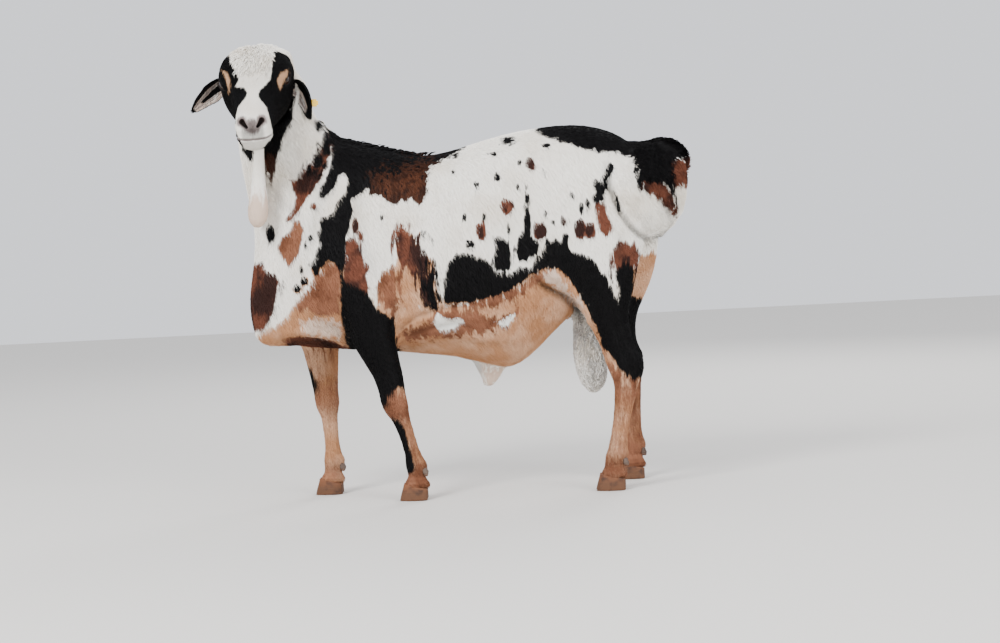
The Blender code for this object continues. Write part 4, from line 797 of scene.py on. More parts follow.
def face_turns():
    """Turn from face coordinates u, v, w to this frame."""
    ahead = Vector((math.cos(FACE_DOWN) * math.sin(FACE_TURN), -math.cos(FACE_DOWN) * math.cos(FACE_TURN),
                    -math.sin(FACE_DOWN)))
    left = Vector((math.cos(FACE_TURN), math.sin(FACE_TURN), 0.0))
    left.rotate(Matrix.Rotation(FACE_TILT, 3, ahead))
    return np.array(Matrix((ahead, left, ahead.cross(left))).transposed())


FACE_TURNS = face_turns()
FACE_ORIGIN = np.array(POLL)


def to_face(points):
    return (points - FACE_ORIGIN) @ FACE_TURNS


def from_face(points):
    return points @ FACE_TURNS.T + FACE_ORIGIN


def folded(points):
    """Points of the face with the right half laid over on the left."""
    u, v, w = points.T
    return np.stack((u, np.abs(v), w), axis=1)


def eye_axes(side):
    """An eye's middle and its own axes: along the lids to the nose, up, and the way it looks."""
    mirror = np.array((1.0, side, 1.0))
    look = EYE_LOOK * mirror
    look = look / np.linalg.norm(look)
    along = EYE_ALONG - look * (look @ EYE_ALONG)
    along = along / np.linalg.norm(along)
    up = np.cross(look, along)
    up = up * np.sign(up[2])
    return EYE * mirror, along, up, look


def in_eye(points, side):
    """Places of points along an eye's own axes."""
    middle, *axes = eye_axes(side)
    return [(points - middle) @ axis for axis in axes]


def lid_gap(a, b):
    """Distance outside the almond between the lids, below nought in the opening."""
    share = np.clip(a / LID_HALF_LENGTH, -1.0, 1.0)
    rise = LID_HALF_OPENING * np.power(np.maximum(1.0 - share * share, 0.0), LID_ROUNDNESS)
    height = np.where(b > 0.0, rise, rise * 0.86)
    ends = np.sqrt(np.maximum(np.abs(a) - LID_HALF_LENGTH, 0.0) ** 2 + b ** 2)
    return np.where(np.abs(a) > LID_HALF_LENGTH, ends, np.abs(b) - height)


def shape_lids(points):
    """Lays the skin over each eye as two lids with a fold above, and opens it between them."""
    shell = EYE_RADIUS + LID_THICKNESS
    for side in (-1, 1):
        middle, along, up, look = eye_axes(side)
        a, b, d = in_eye(points, side)
        radius = np.sqrt(a * a + b * b)
        lid = np.where(radius < shell, np.sqrt(np.maximum(shell ** 2 - radius ** 2, 0.0)), (shell - radius) * 2.5)
        gap = lid_gap(a, b)
        blend = 0.0022
        height = 0.5 * (d + lid + np.sqrt((d - lid) ** 2 + blend ** 2))
        fold_place = np.where(b > 0.0, 0.0050, 0.0042)
        fold_height = np.where(b > 0.0, 0.0016, 0.0009)
        height = height - fold_height * bell(gap, fold_place, 0.0012)
        height = height + 0.0007 * bell(gap, 0.0012, 0.0010)
        ball = np.sqrt(np.maximum(EYE_RADIUS ** 2 - radius ** 2, 0.0)) - 0.0025
        open_share = ramp(gap, 0.0002, -0.0008)
        height = height * (1.0 - open_share) + ball * open_share
        shaped = middle + a[:, None] * along + b[:, None] * up + height[:, None] * look
        near = (radius < EYE_REACH) & (d > -0.004)
        share = (near * ramp(radius, EYE_REACH, EYE_REACH - 0.008))[:, None]
        points = points * (1.0 - share) + shaped * share
    return points


def nostril_distance(points):
    """Distance from the nearer nostril's middle line, in half widths of the opening there."""
    along = NOSTRIL_INNER - NOSTRIL_OUTER
    offset = folded(points) - NOSTRIL_OUTER
    share = np.clip((offset @ along) / (along @ along), 0.0, 1.0)
    offset = offset - share[:, None] * along
    way = NOSTRIL_WAY / np.linalg.norm(NOSTRIL_WAY)
    offset = offset - 0.8 * (offset @ way)[:, None] * way
    return np.linalg.norm(offset, axis=1) / (NOSTRIL_WIDE + (NOSTRIL_NARROW - NOSTRIL_WIDE) * share)


def over_mouth(face):
    """Height over the line of the mouth."""
    return face[:, 2] - np.interp(face[:, 0], *MOUTH_LINE.T)


def face_relief(points):
    """How far the skin of the face stands out along its normal."""
    u, v, w = points.T
    away = nostril_distance(points)
    push = 0.0014 * bell(away, 1.35, 0.35) - NOSTRIL_DEPTH * ramp(away, 0.95, 0.25)
    for place, reach, height in LIP_FORMS:
        push += height * ramp(u, 0.208, 0.222) * bell(over_mouth(points), place, reach)
    groove = ramp(u, 0.250, 0.258) * ramp(w, -0.0080, -0.0040) * ramp(w, 0.0130, 0.0090)
    push -= 0.0013 * groove * bell(v, 0.0, 0.0011)
    # fine folds that cross the nose behind the nostrils
    wrinkles = np.sin(u / 0.0052 * 2 * math.pi + 9.0 * np.abs(v) / 0.04)
    push += 0.00022 * wrinkles * ramp(u, 0.205, 0.222) * ramp(u, 0.246, 0.238) * ramp(w, 0.004, 0.014)
    for line in JOWL_LINES:
        push -= 0.0012 * bell(path_distance(folded(points), line), 0.0, 0.0022)
    return push


def refine_head(head):
    """Splits the faces round the eyes, nostrils and lips."""
    for eye_reach, nose_start in FINER:
        with editing(head.data) as form:
            chosen = set()
            for face in form.faces:
                middle = face.calc_center_median()
                flipped = Vector((middle.x, abs(middle.y), middle.z))
                near_eye = (flipped - Vector(EYE + 0.9 * EYE_RADIUS * EYE_LOOK)).length < eye_reach
                if near_eye or middle.x > nose_start:
                    chosen.update(face.edges)
            bmesh.ops.subdivide_edges(form, edges=list(chosen), cuts=1, use_grid_fill=True)
            bmesh.ops.triangulate(form, faces=[face for face in form.faces if len(face.verts) > 4])


def make_head():
    angles = 2 * math.pi * (np.arange(HEAD_SIDES) + 0.5) / HEAD_SIDES
    cosine, sine = np.cos(angles), np.sin(angles)
    grid = []
    for u, top, bottom, half, widest, above, below in smooth_rows(HEAD_SECTIONS, HEAD_STEPS):
        power = np.where(sine > 0, 2.0 / above, 2.0 / below)
        across = np.sign(cosine) * np.abs(cosine) ** power
        rise = np.sign(sine) * np.abs(sine) ** power
        reach = np.where(rise > 0, top - widest, widest - bottom)
        grid.append(np.stack((np.full(HEAD_SIDES, u), across * half, widest + rise * reach), axis=1))
    head = from_grid("head_skin", np.array(grid))
    refine_head(head)
    points = relax(points_of(head), edges_of(head), 6, *SMOOTHING)
    move_points(head, points)
    push = np.full(len(points), -COAT_DEPTH["head"])
    for places, forms in ((folded(points), HEAD_FORMS), (points, HEAD_UNEVEN)):
        for *middle, reach, height in forms:
            push += height * bell(np.linalg.norm(places - middle, axis=1), 0.0, reach)
    points = points + normals_of(head) * push[:, None]
    move_points(head, points)
    points = points + normals_of(head) * face_relief(points)[:, None]
    move_points(head, from_face(shape_lids(points)))
    return head


# Ears and wattles

def ear_surface(name):
    """Middle surface of an ear, and the way each of its points faces out of the cup."""
    line, opens = EARS[name]
    spine = smooth_rows(line, 12) + SECTION_ORIGIN
    lengths = np.concatenate(([0.0], np.cumsum(np.linalg.norm(np.diff(spine, axis=0), axis=1))))
    shares = np.linspace(0.0, 1.0, EAR_ROWS)
    crossing = np.linspace(-1.0, 1.0, EAR_COLUMNS)
    places = np.stack([np.interp(shares * lengths[-1], lengths, spine[:, axis]) for axis in range(3)], axis=1)
    points = np.empty((EAR_ROWS, EAR_COLUMNS, 3))
    inwards = np.empty_like(points)
    for row, (share, place) in enumerate(zip(shares, places)):
        ahead = places[min(row + 3, EAR_ROWS - 1)] - places[max(row - 3, 0)]
        ahead = ahead / np.linalg.norm(ahead)
        inward = opens - ahead * (opens @ ahead)
        inward = inward / np.linalg.norm(inward)
        side = np.cross(ahead, inward)
        half, curl = (np.interp(share, EAR_SECTIONS[:, 0], EAR_SECTIONS[:, column]) for column in (1, 2))
        angle = curl * crossing
        radius = half / curl
        ripple = 0.0011 * np.sin(share * 19.0 + crossing * 2.5) * np.abs(crossing) ** 2
        rim = EAR_RIM * np.maximum(np.abs(crossing) - 0.78, 0.0) / 0.22 * ramp(share, 0.10, 0.3)
        points[row] = place + side * np.sin(angle)[:, None] * radius + inward * (
            (1 - np.cos(angle)) * radius + ripple + rim)[:, None]
        inwards[row] = inward * np.cos(angle)[:, None] - side * np.sin(angle)[:, None]
    return points, inwards, *np.meshgrid(shares, crossing, indexing="ij")


def make_ear(name):
    """A closed leaf with ridges inside; also share along and across, and 1 inside, for each point."""
    points, inwards, along, across = ear_surface(name)
    thick = EAR_THICKNESS * (1.0 - 0.35 * along) * (0.35 + 0.65 * ramp(np.abs(across), 1.0, 0.75))
    ridges = EAR_RIDGE * np.cos(across * math.pi * 3.0) * ramp(along, 0.06, 0.25) * ramp(along, 0.85, 0.55)
    inner = points + inwards * (thick / 2 + ridges)[:, :, None]
    outer = points - inwards * (thick / 2 - ridges * 0.4)[:, :, None]
    ear = from_grid(name + "_skin", np.concatenate((inner, outer[:, ::-1]), axis=1))
    sides = [np.stack((along, across, np.full_like(along, side)), axis=2) for side in (1.0, 0.0)]
    table = np.concatenate((sides[0], sides[1][:, ::-1]), axis=1).reshape(-1, 3)
    return ear, np.vstack((table, ((0.0, 0.0, 0.0), (1.0, 0.0, 0.0))))


def make_wattle(name):
    """A long drop of skin with a round, finely wrinkled bulb."""
    root_x, bulb_x, y, top, bottom, bulb = WATTLES[name]
    angles = 2 * math.pi * np.arange(WATTLE_SIDES) / WATTLE_SIDES
    grid = []
    for share, width in smooth_rows(WATTLE_SECTIONS, WATTLE_STEPS):
        x = root_x + (bulb_x - root_x) * share
        crease = 1.0 + 0.035 * np.sin(3 * angles + 7 * share) * ramp(share, 0.75, 0.3)
        wrinkle = np.sin(11 * angles + 40 * share) * np.sin(5 * angles - 60 * share)
        radius = bulb * width * (crease + 0.012 * wrinkle * ramp(share, 0.6, 0.8))
        ring = np.stack((x + np.cos(angles) * radius, y + np.sin(angles) * radius * 0.92,
                         np.full(WATTLE_SIDES, top - share * (top - bottom))), axis=1)
        grid.append(ring + SECTION_ORIGIN)
    return from_grid(name + "_skin", np.array(grid))


# One skin

def marking_places(points):
    """Places of points on the marking plane, as seen from the left and, mirrored, from the right."""
    places = []
    for across in (points[:, 1], 2 * MIDDLE_Y - points[:, 1]):
        share = (MARKING_PLANE - EYE_POINT[1]) / (across - EYE_POINT[1])
        places.append(np.stack((EYE_POINT[0] + (points[:, 0] - EYE_POINT[0]) * share,
                                EYE_POINT[2] + (points[:, 2] - EYE_POINT[2]) * share), axis=1))
    return places


def fold_depth(points):
    """Depth of the folds at each point, below nought where the skin stands out."""
    depth = np.zeros(len(points))
    left, right = marking_places(points)
    on_right = points[:, 1] > MIDDLE_Y
    for side, half, deep, path in FOLDS.values():
        for flat, chosen in ((left, ~on_right), (right, on_right & (side == "both"))):
            away = path_distance(flat, path)
            ends = np.linalg.norm(flat[:, None, :] - np.array((path[0], path[-1])), axis=2).min(axis=1)
            fade = 0.25 + 0.75 * ramp(ends, 0.0, FOLD_END)
            depth += chosen * fade * deep * bell(away, 0.0, half)
    return depth


def carve_folds(points, normals, nodes):
    """How far the body's skin goes in at its folds and between bone and tendon."""
    depth = fold_depth(points) * ramp(np.abs(normals[:, 1]), 0.02, 0.30)
    levels = np.arange(0.03, 0.60, 0.01)
    for name in LEGS:
        chosen = np.nonzero(nodes == BODY_NODES.index(name))[0]
        heights = points[chosen, 2]
        edges = np.full((len(levels), 2), np.nan)
        for row, level in enumerate(levels):
            spots = points[chosen[np.abs(heights - level) < 0.008], 0]
            if len(spots) > 3:
                edges[row] = spots.min(), spots.max()
        known = ~np.isnan(edges[:, 0])
        front, back = (np.interp(heights, levels[known], edges[known, column]) for column in (0, 1))
        share = (points[chosen, 0] - front) / np.maximum(back - front, 0.01)
        low, high = TENDON_HEIGHTS[name[4:8]]
        reach = ramp(heights, low, low + 0.02) * ramp(heights, high, high - 0.04)
        groove = bell(share, *TENDON_PLACE) * ramp(np.abs(normals[chosen, 1]), 0.3, 0.7)
        depth[chosen] += TENDON_DEPTH * groove * reach
        for level, middle, across, tall, rise in LEG_FORMS[name[4:8]]:
            depth[chosen] -= rise * bell(heights, level, tall) * bell(share, middle, across)
    return depth


def make_body():
    body = voxel_form("body_skin", BODY_NODES, BODY_VOXEL, BODY_SWELL)
    edges = edges_of(body)
    points = relax(points_of(body), edges, 8, *SMOOTHING)
    move_points(body, points)
    normals = normals_of(body)
    nodes = nearest_node(points, BODY_NODES)
    depth = np.array([COAT_DEPTH[name] for name in BODY_NODES])[nodes]
    depth = relax(depth[:, None], edges, 12, 0.5)[:, 0] + carve_folds(points, normals, nodes)
    move_points(body, points - normals * depth[:, None])
    return body


def unite(parts):
    """Runs closed forms together into one and returns it with its sources' points and labels."""
    sources = np.concatenate([points_of(part) for part in parts])
    labels = np.repeat(np.arange(len(parts)), [len(part.data.vertices) for part in parts])
    whole = parts[0]
    for part in parts[1:]:
        union = whole.modifiers.new("union", "BOOLEAN")
        union.operation = "UNION"
        union.solver = "MANIFOLD"
        union.object = part
        apply_modifiers(whole)
        bpy.data.objects.remove(part)
    with editing(whole.data) as form:
        bmesh.ops.remove_doubles(form, verts=form.verts[:], dist=0.00002)
        bmesh.ops.triangulate(form, faces=[face for face in form.faces if len(face.verts) > 4])
    return whole, sources, labels


def smooth_joints(skin, labels):
    """Softens the skin where head, ears and wattles grow out of what carries them."""
    edges = edges_of(skin)
    points = points_of(skin)
    ends = labels[edges]
    for pair, reach, rounds in JOINTS:
        joined = (ends == pair).all(axis=1) | (ends == pair[::-1]).all(axis=1)
        line = points[np.unique(edges[joined])]
        if not len(line):
            continue
        inside = (points > line.min(axis=0) - reach) & (points < line.max(axis=0) + reach)
        near = np.nonzero(inside.all(axis=1) & np.isin(labels, pair))[0]
        strength = np.zeros(len(points))
        strength[near] = 0.6 * ramp(nearest(line, points[near])[1], reach, reach * 0.25)
        points = relax(points, edges, rounds, strength)
    move_points(skin, points)


def add_field(mesh, name, values, kind="FLOAT", domain="POINT"):
    field = mesh.attributes.new(name, kind, domain)
    key = "value" if kind == "FLOAT" else "vector"
    field.data.foreach_set(key, np.ascontiguousarray(values, np.float32).ravel())


def far_spots():
    """Small spots of the side that the photo doesn't show, placed by chance."""
    chance = np.random.default_rng(FAR_SPOT_SEED)
    return {"black": np.stack([chance.uniform(low, high, FAR_SPOTS) for low, high in FAR_SPOT_RANGES], axis=1)}


def body_fields(points, nodes):
    """Signed distance to each colour's outlines, in widths of its blend."""
    flats = marking_places(points)
    right = ramp(points[:, 1], MIDDLE_Y - 0.010, MIDDLE_Y + 0.010)
    for index, name in enumerate(SKIN_NODES):
        if name.endswith(("_left", "_right")):
            right[nodes == index] = name.endswith("_right")
    fields = {}
    for colour in COLOURS:
        sides = []
        for side, flat in zip(("left", "right"), flats):
            value = np.full(len(points), -FAR)
            for mark_colour, mark_side, blend, outline in MARKS.values():
                if mark_colour == colour and mark_side in ("both", side):
                    width = blend / 1000.0
                    value = np.maximum(value, depth_inside(flat, outline, FAR * width) / width)
            sides.append(clipped(value))
        fields[colour] = sides[0] * (1.0 - right) + sides[1] * right
    for flat, keep, spots in ((flats[0], right < 0.5, SPOTS), (flats[1], right >= 0.5, far_spots())):
        for colour, rows in spots.items():
            for x, z, wide, high in np.array(rows) / 100:
                beside = (np.abs(flat[:, 0] - x) < wide + 0.03) & (np.abs(flat[:, 1] - z) < high + 0.03)
                near = np.nonzero(keep & beside)[0]
                scale = np.sqrt(((flat[near, 0] - x) / wide) ** 2 + ((flat[near, 1] - z) / high) ** 2)
                inside = clipped((1.0 - scale) * min(wide, high) / SPOT_EDGE)
                fields[colour][near] = np.maximum(fields[colour][near], inside)
    return fields


def leg_tan(points, nodes, fields):
    """The lower legs are tan on every side, redder at knee, hock and pastern."""
    for name, (top, inner, red) in LEGS.items():
        chosen = np.nonzero(nodes == SKIN_NODES.index(name))[0]
        heights = points[chosen, 2]
        over_knee = heights - KNEES[name[4:8]]
        height = top + inner * ramp(points[chosen, 1], -0.06, -0.03)
        value = clipped((height - heights) / 0.006)
        fields["tan"][chosen] = np.maximum(fields["tan"][chosen], value)
        for dark in ("chestnut", "umber", "ochre", "rust"):
            fields[dark][chosen] = np.minimum(fields[dark][chosen], -value)
        fields["chestnut"][chosen[heights < 0.40]] = -FAR
        reddish = red + 0.9 * bell(over_knee, 0.012, 0.048) + 0.9 * bell(heights, 0.045, 0.030)
        reddish = np.minimum(np.minimum(reddish, (top + 0.050 - heights) / 0.025), fields["tan"][chosen])
        fields["ochre"][chosen] = np.maximum(fields["ochre"][chosen], reddish)
        # black fades into the tan over the knee and the hock
        fields["black"][chosen] *= 1.0 - 0.7 * bell(over_knee, 0.025, 0.035)


def blank(fields, chosen):
    """Takes all colours off some points."""
    for colour in COLOURS:
        fields[colour][chosen] = -FAR


def face_fields(points, fields, chosen):
    """The black mask at the sides of the face, brows, nose, lids and lips."""
    face = to_face(points[chosen])
    u, v, w = face.T
    flat = marking_places(points[chosen])[0]
    mask, brow = (np.maximum(*(depth_inside(flat, FACE_OUTLINES[part + side]) for side in ("_left", "_right")))
                  for part in ("mask", "brow"))
    # The mask wraps round the cheeks and ends behind the jaw and at the foot of the ears
    mask = mask / 0.0015
    side = np.abs(v)
    wrapped = (side - (0.018 + 0.010 * ramp(np.abs(u - 0.11), 0.03, 0.0) + 0.030 * ramp(u, 0.05, -0.01))) / 0.0015
    muzzle = (0.203 + 0.030 * ramp(v, 0.0, 0.02) + 0.25 * w - u) / 0.0022
    turned = ramp(w, 0.022, -0.010)
    mask = mask * (1.0 - turned) + np.maximum(mask, np.minimum(wrapped, muzzle)) * turned
    limit = (0.036 + 0.016 * ramp(w, 0.030, 0.010)) * ramp(v, 0.0, 0.03) * ramp(w, -0.030, -0.010)
    behind = (u - limit + 0.006 + 0.35 * (w - 0.02) * (w < 0.02)) / 0.002
    for colour in ("tan", "chestnut", "umber", "rust", "white"):
        fields[colour][chosen] = np.where(w < -0.075, fields[colour][chosen], -FAR)
    away = nostril_distance(face)
    pad = NOSE_PAD_RADIUS - np.linalg.norm((folded(face) - NOSE_PAD) * np.array((0.6, 0.70, 1.0)), axis=1)
    lips = np.minimum(0.0028 - np.abs(over_mouth(face)), u - 0.212) / 0.0014
    # Painted shade: the nostrils are near-black inside; round the eyes the same colour is the dark skin of the lid
    # edges
    hole = (0.80 - away) / 0.25
    for eye_side in (-1, 1):
        a, b, d = in_eye(face, eye_side)
        hole = np.maximum(hole, np.where(d > 0, 0.0016 - lid_gap(a, b), -0.02) / 0.0006)
    found = {
        "black": np.minimum(mask, behind), "ochre": -FAR, "grey": -FAR, "brow": (brow - 0.0012) / 0.0022,
        "nose": np.maximum(np.maximum(pad / 0.0055, (1.50 - away) / 0.60), lips), "hole": hole,
    }
    for colour, value in found.items():
        fields[colour][chosen] = clipped(value)


def face_shadow(face):
    """Painted shade between the wavy locks of the forehead, under the nose on the upper lip and on the lower lip."""
    u, v, w = face.T
    waves = np.sin(2 * math.pi * (v + 0.0045 * np.sin(2 * math.pi * u / 0.036 + 40.0 * v)) / 0.0125)
    region = ramp(u, 0.150, 0.110) * ramp(w, 0.030, 0.045) * ramp(np.abs(v), 0.046, 0.036)
    lip = over_mouth(face)
    upper = ramp(lip, 0.0, 0.003) * ramp(w, 0.022, 0.012) * ramp(np.abs(v), 0.028, 0.018) * ramp(u, 0.232, 0.244)
    lower = ramp(lip, 0.0, -0.003) * ramp(u, 0.222, 0.236)
    return 0.30 * ramp(waves, 0.2, 1.0) * region + 0.78 * upper + 0.34 * lower


def ear_fields(fields, chosen, name, info):
    """Ears are black outside and at the rim, and pale inside, with dark stripes on the right one."""
    along, across, inner = info.T
    if name == "ear_left":
        rim = np.maximum((0.30 - across) / 0.06, (across - 0.90) / 0.05)
        stripe = (0.05 - np.abs(across - 0.62 + 0.20 * along)) / 0.05
        tip = (along - 0.72 - 0.15 * across) / 0.04
    else:
        rim = np.maximum((across - 0.20 - 0.2 * along) / 0.05, (-0.93 - across) / 0.04)
        first = (0.37 - 0.22 * along - np.abs(across + 0.24 - 0.1 * along)) / 0.06
        second = (0.06 - np.abs(across + 0.68)) / 0.05
        stripe = np.minimum(np.maximum(first, second), np.minimum((along - 0.16) / 0.05, (0.80 - along) / 0.05))
        tip = (along - 0.93) / 0.03
    dark = np.maximum(np.maximum(rim, tip), stripe)
    blank(fields, chosen)
    skin_grey = np.minimum(0.10 + 0.5 * np.sin(across * 11.0), -dark)
    for colour, inside, outside in (
        ("black", clipped(dark), 8.0), ("bare", np.minimum(0.4, -dark), -FAR), ("nose", skin_grey, -FAR),
    ):
        fields[colour][chosen] = np.where(inner > 0.5, inside, outside)


def skin_fields(points, nodes, labels, info):
    """All colours' fields on the skin."""
    fields = body_fields(points, nodes)
    leg_tan(points, nodes, fields)
    face_fields(points, fields, labels == HEAD)
    for name, label in EAR_LABELS.items():
        ear_fields(fields, labels == label, name, info[labels == label])
    wattles = np.isin(labels, (WATTLE_LEFT, WATTLE_RIGHT))
    scrotum, sheath = (nodes == SKIN_NODES.index(name) for name in ("scrotum", "sheath"))
    blank(fields, wattles | scrotum | sheath)
    fields["bare"][wattles] = (WATTLE_BULB[0] - points[wattles, 2]) / WATTLE_BULB[1]
    fields["tan"][scrotum] = np.clip((points[scrotum, 2] - 0.400) / 0.004, -FAR, 0.0)
    fields["grey"][scrotum] = np.clip((0.37 - points[scrotum, 2]) / 0.06, -FAR, 0.0)
    fields["bare"][sheath] = 0.6
    fields["grey"][sheath] = (0.0640 - points[sheath, 0]) / 0.006
    # no white shows between tan and black
    low_leg = np.isin(nodes, [SKIN_NODES.index(name) for name in LEGS]) & (points[:, 2] < 0.42)
    covered = np.minimum(fields["tan"] + 5.0, fields["black"] + 1.5 + 6.0 * low_leg)
    below = (labels == BODY) & (nodes != SKIN_NODES.index("neck"))
    fields["tan"][below] = np.maximum(fields["tan"], covered)[below]
    return fields


def hair_lie(points, normals, nodes, labels):
    """Direction in which the hair lies, along the skin."""
    x, _, z = points.T
    lie = np.full((len(points), 3), (0.38, 0.0, -0.92))
    top = ramp(normals[:, 2], 0.62, 0.95)[:, None]
    lie = lie * (1 - top) + np.array((1.0, 0.0, 0.0)) * top
    down = (0.65 * ramp(x, -0.10, -0.20) * ramp(z, 0.75, 0.60) + 0.8 * ramp(x, 0.20, 0.30) * ramp(z, 0.72, 0.58))
    down = np.clip(down, 0, 1)[:, None] * (1 - top)
    lie = lie * (1 - down) + np.array((0.35, 0.0, -0.95)) * down
    for name, way in HAIR_WAYS.items():
        lie[nodes == SKIN_NODES.index(name)] = way
    chosen = labels == HEAD
    u, v, w = to_face(points[chosen]).T
    front = np.stack((u + 0.008, 0.6 * v, 0 * u), axis=1)
    front = front / np.maximum(np.linalg.norm(front, axis=1), 0.004)[:, None]
    side = np.stack((np.where(u > 0.17, 0.5, -0.35), 0 * u, np.full(len(u), -0.9)), axis=1)
    mix = ramp(w, 0.045, 0.010)[:, None]
    lie[chosen] = (front * (1 - mix) + side * mix) @ FACE_TURNS.T
    for name, label in EAR_LABELS.items():
        line = np.array(EARS[name][0]) + SECTION_ORIGIN
        chosen = labels == label
        away = np.linalg.norm(points[chosen][:, None, :] - (line[1:] + line[:-1])[None] / 2, axis=2)
        lie[chosen] = np.diff(line, axis=0)[away.argmin(axis=1)]
    return lie


def lay_flat(lie, normals, edges, rounds):
    """Smooths directions over the skin and turns them into its plane."""
    for step in range(rounds + 1):
        lie = lie - normals * (lie * normals).sum(axis=1)[:, None]
        lie = lie / np.maximum(np.linalg.norm(lie, axis=1), 1e-6)[:, None]
        if step < rounds:
            lie = 0.5 * lie + 0.5 * neighbour_mean(lie, edges)
    return lie


def add_atlas(mesh, nodes):
    """Unwraps the skin by body part and facing into one square, as face corners' places."""
    owners = read(mesh.loops, "vertex_index", 1, np.int32)[:, 0]
    starts, totals = (read(mesh.polygons, key, 1, np.int32)[:, 0] for key in ("loop_start", "loop_total"))
    normals = read(mesh.polygons, "normal", 3)
    axis = np.abs(normals).argmax(axis=1)
    facing = axis * 2 + (normals[np.arange(len(axis)), axis] > 0)
    chart = np.repeat(nodes[owners[starts]] * 6 + facing, totals)
    corners = read(mesh.vertices, "co", 3)[owners]
    places = np.zeros((len(owners), 2))
    boxes = []
    for name in np.unique(chart):
        flat = np.delete(corners[chart == name], (name % 6) // 2, axis=1)
        places[chart == name] = flat - flat.min(axis=0)
        boxes.append((name, *(np.ptp(flat, axis=0) + 0.01)))
    boxes.sort(key=lambda box: -box[2])
    side = 1.15 * math.sqrt(sum(wide * high for _, wide, high in boxes))
    across = above = shelf = 0.0
    for name, wide, high in boxes:
        if across + wide > side:
            across, above, shelf = 0.0, above + shelf, 0.0
        places[chart == name] += (across, above)
        across += wide
        shelf = max(shelf, high)
    add_field(mesh, "root", places * (0.99 / max(side, above + shelf)), "FLOAT2", "CORNER")


def ragged_edges(points, nodes, labels):
    """How far the hair of one colour reaches into the next."""
    ragged = np.ones(len(points))
    ragged[labels == HEAD] = 0.45
    ragged[np.isin(labels, (EAR_LEFT, EAR_RIGHT))] = 0.30
    ragged[np.isin(labels, (WATTLE_LEFT, WATTLE_RIGHT))] = 0.40
    on_low = [SKIN_NODES.index(name) for name in (*LEGS, "neck", "scrotum", "tail")]
    chosen = np.isin(nodes, on_low) & (labels == BODY)
    ragged[chosen] -= 0.84 * ramp(points[chosen, 2], 0.33, 0.23)
    for name, level in RAGGED_LEVELS.items():
        chosen = nodes == SKIN_NODES.index(name)
        ragged[chosen] += 0.45 * bell(points[chosen, 2], level, 0.030)
    ragged[labels == BODY] *= 1.0 - 0.45 * ramp(points[labels == BODY, 0], -0.10, -0.18)
    return ragged


def make_skin():
    """Builds the whole skin and stores on it the markings, the lie of the hair and the coat's regions."""
    ears = [make_ear(name) for name in EAR_LABELS]
    parts = [make_body(), make_head(), *(ear for ear, _ in ears), *(make_wattle(name) for name in WATTLES)]
    info = [np.zeros((len(part.data.vertices), 3)) for part in parts]
    info[EAR_LEFT], info[EAR_RIGHT] = (table for _, table in ears)
    skin, sources, labels = unite(parts)
    skin.name = "skin"
    spots, _ = nearest(sources, points_of(skin))
    labels = labels[spots]
    info = np.concatenate(info)[spots]
    smooth_joints(skin, labels)
    points = points_of(skin)
    normals = normals_of(skin)
    edges = edges_of(skin)
    nodes = nearest_node(points, SKIN_NODES)
    for name, label in LAID_ON.items():
        nodes[labels == label] = SKIN_NODES.index(name)
    nodes[(labels == BODY) & (nodes == SKIN_NODES.index("head"))] = SKIN_NODES.index("neck")
    fields = skin_fields(points, nodes, labels, info)
    mesh = skin.data
    for colour, values in fields.items():
        add_field(mesh, colour, clipped(values))
    add_field(mesh, "lie", lay_flat(hair_lie(points, normals, nodes, labels), normals, edges, 14), "FLOAT_VECTOR")
    add_field(mesh, "ragged", ragged_edges(points, nodes, labels))
    # Painted shade in the folds of the body, by their depth, and on the face from face_shadow
    crease = np.where(labels == BODY, np.clip(fold_depth(points) / FOLD_SHADOW, 0.0, 1.0), 0.0)
    crease[labels == HEAD] = face_shadow(to_face(points[labels == HEAD]))
    add_field(mesh, "crease", crease)
    # Painted shade: the skin under the coat is as dark as the hair a quarter of the way out from its roots
    add_field(mesh, "along", np.full(len(points), 0.25))
    for name, amount in coat_amounts(points, normals, nodes, fields, info[:, 2]).items():
        add_field(mesh, name, amount)
    add_atlas(mesh, nodes)
    mesh.materials.clear()
    mesh.shade_smooth()
    return skin


